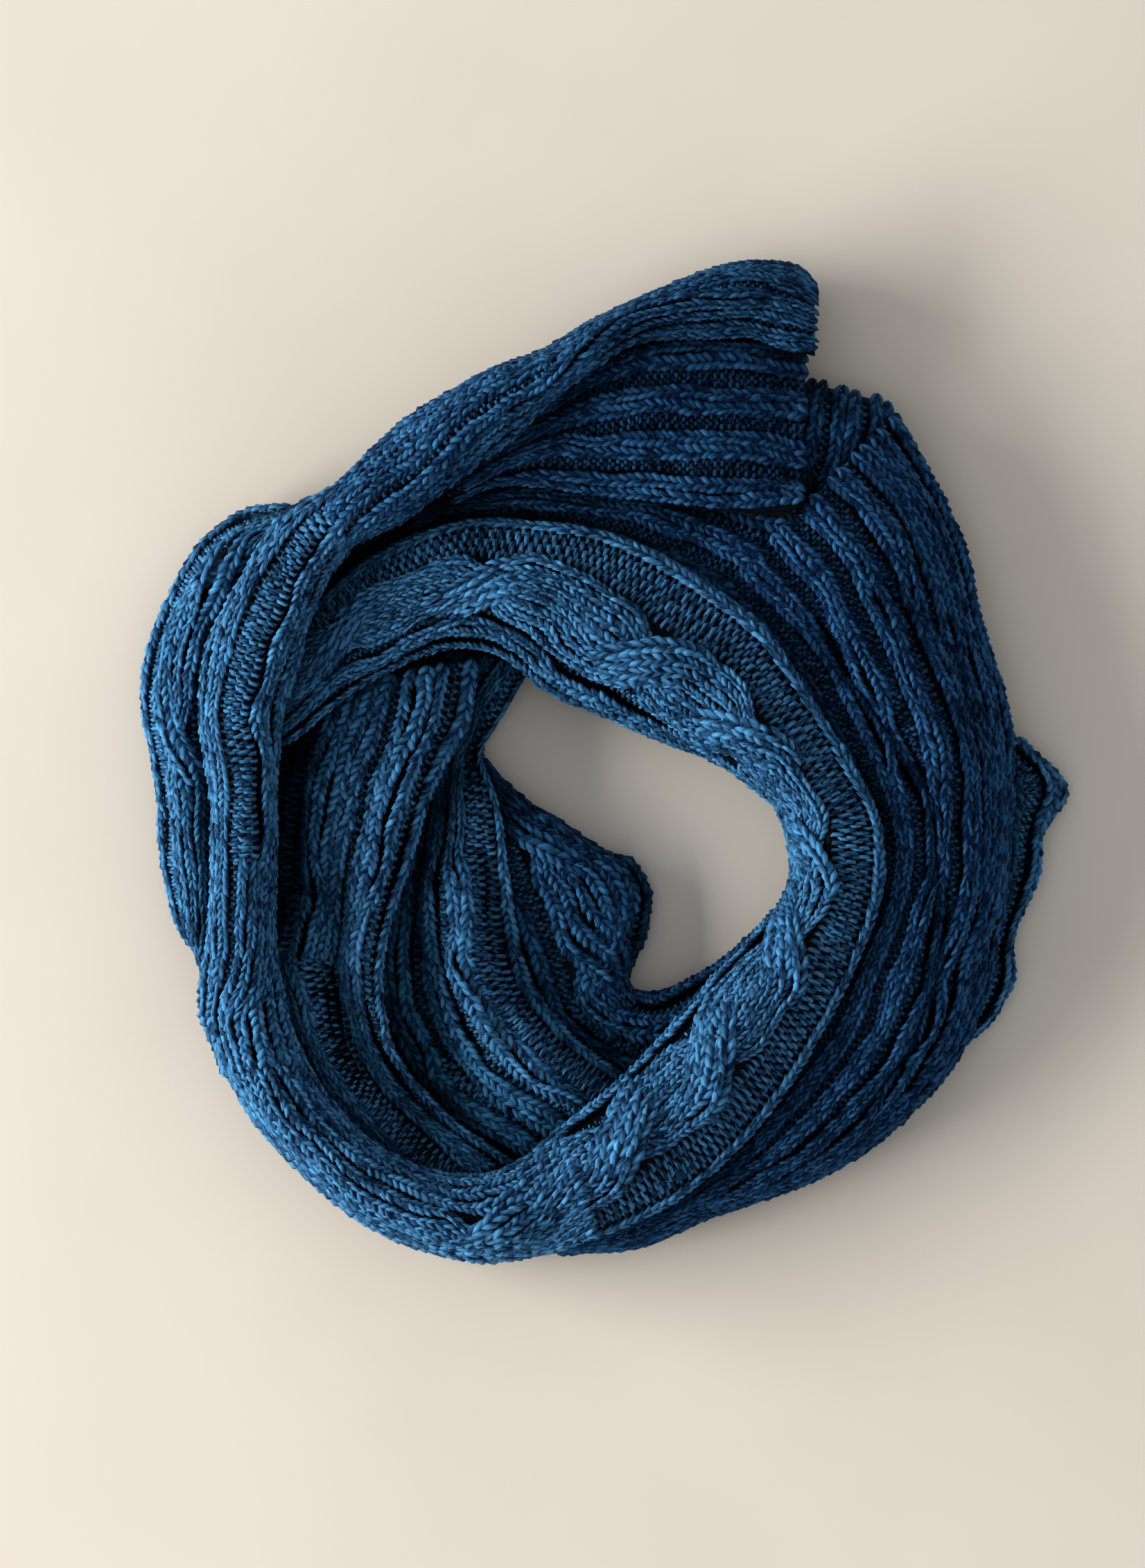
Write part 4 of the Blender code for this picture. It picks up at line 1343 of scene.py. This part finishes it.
def mesh_piece(name, points, faces, material):
    """A smooth mesh object from points in millimetres."""
    mesh = bpy.data.meshes.new(name)
    mesh.from_pydata((np.array(points) * MM).tolist(), [], faces)
    mesh.materials.append(material)
    mesh.shade_smooth()
    mesh.update()
    piece = bpy.data.objects.new(name, mesh)
    bpy.context.scene.collection.objects.link(piece)
    return piece


print("the ground lies", GROUND_SINK, "mm under the stitches")

# %% [markdown]
# ## The stitches of a stretch
#
# No two hand-knitted loops are quite alike, so each gets a slightly different size, place and tilt,
# and its own start in the twist of the plies. A fixed seed makes it the same each time. The points
# carry these values to the node tree as attributes.

# %% A cloud of points, one for each stitch
WIDTH_LIMITS = (0.55, 1.5)
LENGTH_LIMITS = (0.6, 1.6)
HEIGHT_LIMITS = (0.7, 1.25)
SIZE_CHANCE = 0.05
PLACE_CHANCE = 0.14
TILT_CHANCE = 0.05


def stitch_points(name, plan, wanted, free, seed):
    """An object with a point for each wanted stitch and the values that the node tree reads."""
    chance = np.random.default_rng(seed)
    at, out, along = plan["at"][wanted], plan["out"][wanted], plan["along"][wanted]
    size = plan["size"][wanted] / [WALE, ROW, 1.0]
    size[:, 0] = np.clip(size[:, 0], *WIDTH_LIMITS)
    size[:, 1] = np.clip(size[:, 1], *LENGTH_LIMITS)
    size[:, 2] = np.clip(np.sqrt(size[:, 0] * size[:, 1]), *HEIGHT_LIMITS)
    size *= chance.normal(1.0, SIZE_CHANCE, size.shape)
    at = at + chance.normal(0.0, PLACE_CHANCE, at.shape)
    out = unit(out + chance.normal(0.0, TILT_CHANCE, out.shape))
    marl = chance.uniform(0, 1, len(at))
    cloud = bpy.data.meshes.new(name + "_points")
    cloud.from_pydata((at * MM).tolist(), [], [])
    for label, values in (("out", out), ("along", unit(along)), ("size", size)):
        cloud.attributes.new(label, "FLOAT_VECTOR", "POINT")
        cloud.attributes[label].data.foreach_set("vector", values.astype(np.float32).ravel())
    cloud.attributes.new("knit", "INT", "POINT")
    cloud.attributes["knit"].data.foreach_set("value", plan["knit"][wanted].astype(np.int32))
    # open is the share of open sky, which the wool turns into painted shade
    for label, values in (("marl", marl), ("open", free[wanted])):
        cloud.attributes.new(label, "FLOAT", "POINT")
        cloud.attributes[label].data.foreach_set("value", values.astype(np.float32))
    carrier = bpy.data.objects.new(name + "_points", cloud)
    bpy.context.scene.collection.objects.link(carrier)
    return carrier


print("each stitch moves by about", PLACE_CHANCE, "mm")

# %% [markdown]
# ## From points to one plain mesh
#
# A Geometry Nodes modifier could stay live on the scarf, but a plain mesh is what other programs can
# open. So the tree runs once on the points, its result is kept as a mesh with the yarn's place in
# its twist and its open share on it, and the points are thrown away.

# %% Knit a cloud of points
FULLNESS = 1.0
USED_UP = ("out", "along", "size", "knit")


def stitch_piece(name, plan, wanted, free, seed, yarn):
    """One mesh with all the wanted stitches of a stretch."""
    carrier = stitch_points(name, plan, wanted, free, seed)
    worker = carrier.modifiers.new("knitting", "NODES")
    worker.node_group = knitting
    worker[SOCKETS["Knit stitch"]] = knit_stitch
    worker[SOCKETS["Purl stitch"]] = purl_stitch
    worker[SOCKETS["Yarn"]] = yarn
    worker[SOCKETS["Fullness"]] = FULLNESS
    bpy.context.view_layer.update()
    ready = carrier.evaluated_get(bpy.context.evaluated_depsgraph_get())
    mesh = bpy.data.meshes.new_from_object(ready)
    mesh.name = name
    for label in USED_UP:
        if label in mesh.attributes:
            mesh.attributes.remove(mesh.attributes[label])
    bpy.data.objects.remove(carrier)
    piece = bpy.data.objects.new(name, mesh)
    bpy.context.scene.collection.objects.link(piece)
    return piece


print("the tree runs with a fullness of", FULLNESS)

# %% [markdown]
# ## Laying the coil
#
# Now every stretch is laid down in turn, over the ones before it, and all the laid cloth together
# becomes one search tree. It tells which stitches lie open to the sky.

# %% Lay all the cloth, each stretch on the ones below
WAVE_SEED = 40
LAID = {}
for number, (name, spec) in enumerate(STRETCHES.items()):
    below = [LAID[other][0] for other in LAID if other not in spec.get("onto", ())]
    LAID[name] = cloth_grid(spec, below, WAVE_SEED + number)
whole_scarf = BVHTree.FromPolygons(*polygons_of([laid[0] for laid in LAID.values()]))
print("highest cloth:", round(max(laid[0][:, :, 2].max() for laid in LAID.values()), 1), "mm")

# %% [markdown]
# ## Knitting every stretch
#
# Each stretch is two pieces, its ground and its stitches. Both ride the one body and stand in for
# the imported wall. The flat size the ground was cut to, its mean width along the arch by its
# length, is worked out and printed.

# %% Choose the yarn of each stretch
YARNS = {name: blue_yarn for name in STRETCHES}
# Painted half shade for the rolled end and the hole's corner, painted shade for the flap and the
# stretches on the right
for name in ("rolled_rope_stretch", "hole_corner_stretch"):
    YARNS[name] = painted_half_shade_yarn
for name in (
    "inner_right_stretch", "turned_triangle", "top_outer_stretch", "right_outer_stretch", "end_flap"
):
    YARNS[name] = painted_shade_yarn
print("stretches in the bright mix:", list(YARNS.values()).count(blue_yarn))

# %% Knit them all
SWAY_SEED = 70
STITCH_SEED = 100
total, open_share = 0, {}
for number, (name, spec) in enumerate(STRETCHES.items()):
    base, inside, places, length = LAID[name]
    plan = stitch_plan(base, places, spec, SWAY_SEED + number)
    ground = mesh_piece(name + "_ground", *ground_sheet(base, inside, spec), painted_shade_ground)
    wanted, free = shown(plan, whole_scarf)
    seed = STITCH_SEED + number
    stitches = stitch_piece(name + "_stitches", plan, wanted, free, seed, YARNS[name])
    open_share[name] = round(float(free[wanted].mean()), 2)
    widths = np.linalg.norm(np.diff(base, axis=1), axis=2).sum(axis=1)
    flat = (round(widths.mean() * MM, 3), round(length * MM, 3))
    for piece in (ground, stitches):
        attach(piece, "root")
        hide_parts(name)
    total += len(stitches.data.polygons)
    print(f"{name}: {len(base)} rows of {plan['knit'].shape[1]} wales, {wanted.sum()} stitches show,",
          f"widths {widths.min():.0f} to {widths.max():.0f} mm, cut {flat[0]} x {flat[1]} m")
print("faces of all the stitches:", total)
print("share of open sky:", open_share)

# %% [markdown]
# ## The layers inside the coil
#
# The middle of the coil holds more turns of the strip that nobody sees. The imported ring stands for
# all of them. The folds sink a little below the imported cloth, so the ring's top is lowered
# until it stays under the cloth everywhere. It is copied and made finer first, so that its top can
# follow the folds.

# %% The hidden layers, kept just under the cloth
RING_GAP = 2.0
RING_LOW = 3.0
SAME_POINT = 0.00002


def ring_piece():
    """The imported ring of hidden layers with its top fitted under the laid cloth."""
    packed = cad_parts["hidden_layers"]
    mesh = packed.data.copy()
    ring = bpy.data.objects.new("inner_layers", mesh)
    bpy.context.scene.collection.objects.link(ring)
    undersides = BVHTree.FromPolygons(*polygons_of([laid[1] for laid in LAID.values()]))
    work = bmesh.new()
    work.from_mesh(mesh)
    bmesh.ops.remove_doubles(work, verts=work.verts, dist=SAME_POINT)
    bmesh.ops.subdivide_edges(work, edges=work.edges, cuts=1, use_grid_fill=True)
    for vertex in work.verts:
        x, y, z = vertex.co / MM
        if z > RING_LOW:
            cloth = undersides.ray_cast(Vector((x, y, 0.0)), Vector((0, 0, 1)))[0]
            if cloth is not None:
                z = min(z, max(cloth.z - RING_GAP, RING_LOW))
            vertex.co.z = z * MM
    work.to_mesh(mesh)
    work.free()
    # The ring wears the ground's wool in painted shade
    mesh.materials.clear()
    mesh.materials.append(painted_shade_ground)
    mesh.shade_smooth()
    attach(ring, "root")
    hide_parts("hidden_layers")
    return ring


inner_layers = ring_piece()
print("hidden layers:", len(inner_layers.data.polygons), "faces")

# %% [markdown]
# ## The edges of the hidden layers
#
# Seen from the side, the folded edges of those turns show between the lowest cloth and the surface.
# Stitches are laid on the ring's wall for them, with ribs that run around it like stacked edges.
# The lines where the ring meets the surface are found first, one outside and one in the hole.

# %% The lines where the ring meets the surface
FACES_DOWN = -0.9


def floor_lines(ring):
    """The closed lines, in millimetres, along which the ring meets the surface."""
    work = bmesh.new()
    work.from_mesh(ring.data)
    beside = {}
    for edge in work.edges:
        if sum(face.normal.z < FACES_DOWN for face in edge.link_faces) == 1:
            one, other = (vertex.index for vertex in edge.verts)
            beside.setdefault(one, []).append(other)
            beside.setdefault(other, []).append(one)
    places = {vertex.index: np.array(vertex.co.xy) / MM for vertex in work.verts}
    work.free()
    lines = []
    while beside:
        first = here = min(beside)
        line, previous = [], None
        while here in beside:
            line.append(places[here])
            onward = [other for other in beside.pop(here) if other != previous]
            previous, here = here, next((o for o in onward if o in beside), first)
        lines.append(np.array(line))
    return lines


lines = sorted(floor_lines(inner_layers), key=lambda line: -np.ptp(line[:, 0]))
print("lines on the surface:", [len(line) for line in lines])

# %% [markdown]
# ## Stitches around the ring
#
# Points at even steps follow each line, and from each of them rays are shot at the wall at the
# height of every wale. Where a ray hits, a stitch is laid, turned like the wall. Only the stitches
# that can be seen are kept, here also by looks from low down at the side.

# %% Lay stitches around one line
EDGE_WALES = "KKPKKPKKPKK"
EDGE_STEP = 3.8
EDGE_START = 2.4
EDGE_TOP = 0.8
EDGE_SINK = 0.8
EDGE_RELIEF = (0.5, -0.7)
RAY_AWAY = 10
RAY_LENGTH = 26
SMOOTH_AROUND = 3


def around_line(line, step):
    """Points at even steps around a closed line, smoothed, and the side each one looks to."""
    closed = np.vstack([line, line[:1]])
    run = np.concatenate([[0], np.cumsum(np.linalg.norm(np.diff(closed, axis=0), axis=1))])
    count = round(run[-1] / step)
    at = np.arange(0, run[-1], run[-1] / count)[:count]
    points = np.column_stack([np.interp(at, run, closed[:, axis]) for axis in range(2)])
    points = sum(np.roll(points, shift, axis=0) for shift in range(-2, 3)) / 5
    along = np.roll(points, -1, axis=0) - np.roll(points, 1, axis=0)
    return points, unit(np.column_stack([along[:, 1], -along[:, 0]]))


def edge_plan(line, outward, wall):
    """The stitches around one closed line of the ring's wall."""
    points, side = around_line(line, ROW)
    area = np.sum(line[:, 0] * np.roll(line[:, 1], -1) - line[:, 1] * np.roll(line[:, 0], -1))
    side = side * (1 if (area > 0) == outward else -1)
    shape = (len(points), len(EDGE_WALES))
    at, out = np.zeros(shape + (3,)), np.zeros(shape + (3,))
    inside = np.zeros(shape, bool)
    for i in range(shape[0]):
        for k in range(shape[1]):
            start = Vector((*(points[i] + side[i] * RAY_AWAY), EDGE_START + EDGE_STEP * k))
            hit, normal, _, _ = wall.ray_cast(start, Vector((*-side[i], 0)), RAY_LENGTH)
            if hit is not None and normal.z < EDGE_TOP:
                at[i, k], out[i, k], inside[i, k] = hit, normal, True
            else:
                at[i, k], out[i, k] = start, (*side[i], 0)
    turns = range(-SMOOTH_AROUND, SMOOTH_AROUND + 1)
    out = unit(sum(np.roll(out, turn, axis=0) for turn in turns))
    knit = np.repeat(np.array([[kind == "K" for kind in EDGE_WALES]]), shape[0], axis=0)
    skin = at - out * EDGE_SINK
    at = skin + out * np.where(knit, *EDGE_RELIEF)[:, :, None]
    along = (np.roll(at, -1, axis=0) - np.roll(at, 1, axis=0)) / 2
    length = np.linalg.norm(along, axis=2)
    inside &= length < 2 * ROW
    size = np.dstack([np.full(shape, EDGE_STEP), length, np.ones(shape)])
    return dict(at=at, skin=skin, along=along, out=out, size=size, knit=knit, inside=inside)


ring_points = np.array([vertex.co / MM for vertex in inner_layers.data.vertices])
inner_layers.data.calc_loop_triangles()
triangles = [tuple(triangle.vertices) for triangle in inner_layers.data.loop_triangles]
wall = BVHTree.FromPolygons(ring_points.tolist(), triangles)
print("triangles of the wall:", len(triangles))

# %% Knit the two edges of the hidden layers
EDGE_SEED = 200
EDGE_OPEN = (0.4, 1.0)
LOW_TURNS = 16
LOW_HEIGHT = 0.12
LOW_LOOKS = list(LOOKS)
for turn in range(LOW_TURNS):
    angle = turn * 2 * math.pi / LOW_TURNS
    LOW_LOOKS.append(Vector((math.cos(angle), math.sin(angle), LOW_HEIGHT)).normalized())
for number, line in enumerate(lines[:2]):
    plan = edge_plan(line, number == 0, wall)
    wanted, free = shown(plan, whole_scarf, LOW_LOOKS)
    name = ("outer", "inner")[number] + "_edge_stitches"
    # The open share of the wall's stitches is held at 0.4 or more, so their painted shade stays
    # light; they get the yarn in painted shade
    free = np.clip(free, *EDGE_OPEN)
    edges = stitch_piece(name, plan, wanted, free, EDGE_SEED + number, painted_shade_yarn)
    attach(edges, "root")
    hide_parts("hidden_layers")
    print(f"{name}: {wanted.sum()} of {plan['inside'].sum()} stitches show")
for template in (knit_stitch, purl_stitch):
    bpy.data.objects.remove(template)

# %% [markdown]
# ## The surface under the scarf
#
# The scarf lies on a plain, matt, warm grey-beige surface, like a painted board. One large face is
# enough for it, with a mottling so faint that it only keeps the colour from looking dead.

# %% The plain pale surface
BEIGE, LIGHT_BEIGE = (0.66, 0.60, 0.52, 1), (0.69, 0.63, 0.55, 1)
MOTTLE_SCALE = 9.0
REACH = 6000.0


def surface_material():
    """A matt warm grey-beige surface with the faintest mottling."""
    material = bpy.data.materials.new("pale_surface")
    material.use_nodes = True
    tree = material.node_tree
    shader = tree.nodes["Principled BSDF"]
    place = tree.nodes.new("ShaderNodeTexCoord").outputs["Object"]
    mottle = noise(tree, place, MOTTLE_SCALE, 3.0, 0.5)
    blend = tree.nodes.new("ShaderNodeMix")
    blend.data_type = "RGBA"
    blend.inputs["A"].default_value = BEIGE
    blend.inputs["B"].default_value = LIGHT_BEIGE
    tree.links.new(mottle, blend.inputs["Factor"])
    tree.links.new(blend.outputs["Result"], shader.inputs["Base Color"])
    shader.inputs["Roughness"].default_value = 0.75
    shader.inputs["Specular IOR Level"].default_value = 0.2
    return material


corners = [(-REACH, -REACH, 0), (REACH, -REACH, 0), (REACH, REACH, 0), (-REACH, REACH, 0)]
surface = mesh_piece("pale_surface", corners, [(0, 1, 2, 3)], surface_material())
print("the surface reaches", 2 * REACH * MM, "m across")

# %% [markdown]
# ## Soft light from the left
#
# One broad light stands low at the left, like a large window. It leaves the right side darker and
# throws a soft shadow that way, and it grazes the ribs, so each row of stitches shows. A pale, even
# world lights what is left. A gamma a little below one deepens the shadows between the stitches.

# %% The window light and the world
LOOK_AT = Vector((0, 0, 0.02))
WORLD_COLOUR = (0.92, 0.95, 1.0, 1)
WORLD_STRENGTH = 0.67
GAMMA = 0.84


def soft_light(name, place, width, height, power, colour):
    """A rectangular area light that looks at the scarf."""
    data = bpy.data.lights.new(name, "AREA")
    data.shape, data.size, data.size_y = "RECTANGLE", width, height
    data.energy, data.color = power, colour
    lamp = bpy.data.objects.new(name, data)
    bpy.context.scene.collection.objects.link(lamp)
    lamp.location = place
    lamp.rotation_mode = "QUATERNION"
    lamp.rotation_quaternion = (LOOK_AT - lamp.location).to_track_quat("-Z", "Y")


soft_light(
    "window_light",
    place=(-2.6, -0.20, 1.00),
    width=2.6,
    height=1.1,
    power=153.0,
    colour=(1.0, 0.985, 0.96),
)
world = bpy.data.worlds.new("studio")
world.use_nodes = True
world.node_tree.nodes["Background"].inputs["Color"].default_value = WORLD_COLOUR
world.node_tree.nodes["Background"].inputs["Strength"].default_value = WORLD_STRENGTH
bpy.context.scene.world = world
bpy.context.scene.view_settings.view_transform = "Standard"
bpy.context.scene.view_settings.gamma = GAMMA
print("lights:", len(bpy.data.lights))

# %% [markdown]
# ## The camera
#
# The camera hangs high over the coil with a long lens, so it looks straight down almost without
# perspective. The lens follows from the height of the picture in pixels, at a quarter of a
# millimetre to the pixel, half way up the coil.

# %% The camera, straight overhead
PICTURE_HEIGHT = 2263
PIXEL_MM = 0.25
CAMERA_HEIGHT = 6.0
FOCUS_HEIGHT = 0.03
CENTRE = (-0.0115, -0.0084)
view = bpy.data.cameras.new("overhead_camera")
view.sensor_width = 36.0
view.lens = view.sensor_width * (CAMERA_HEIGHT - FOCUS_HEIGHT) / (PICTURE_HEIGHT * PIXEL_MM * MM)
view.clip_start, view.clip_end = 0.1, 50.0
camera = bpy.data.objects.new("overhead_camera", view)
bpy.context.scene.collection.objects.link(camera)
camera.location = (CENTRE[0], CENTRE[1], CAMERA_HEIGHT)
bpy.context.scene.camera = camera
print("lens:", round(view.lens), "mm")
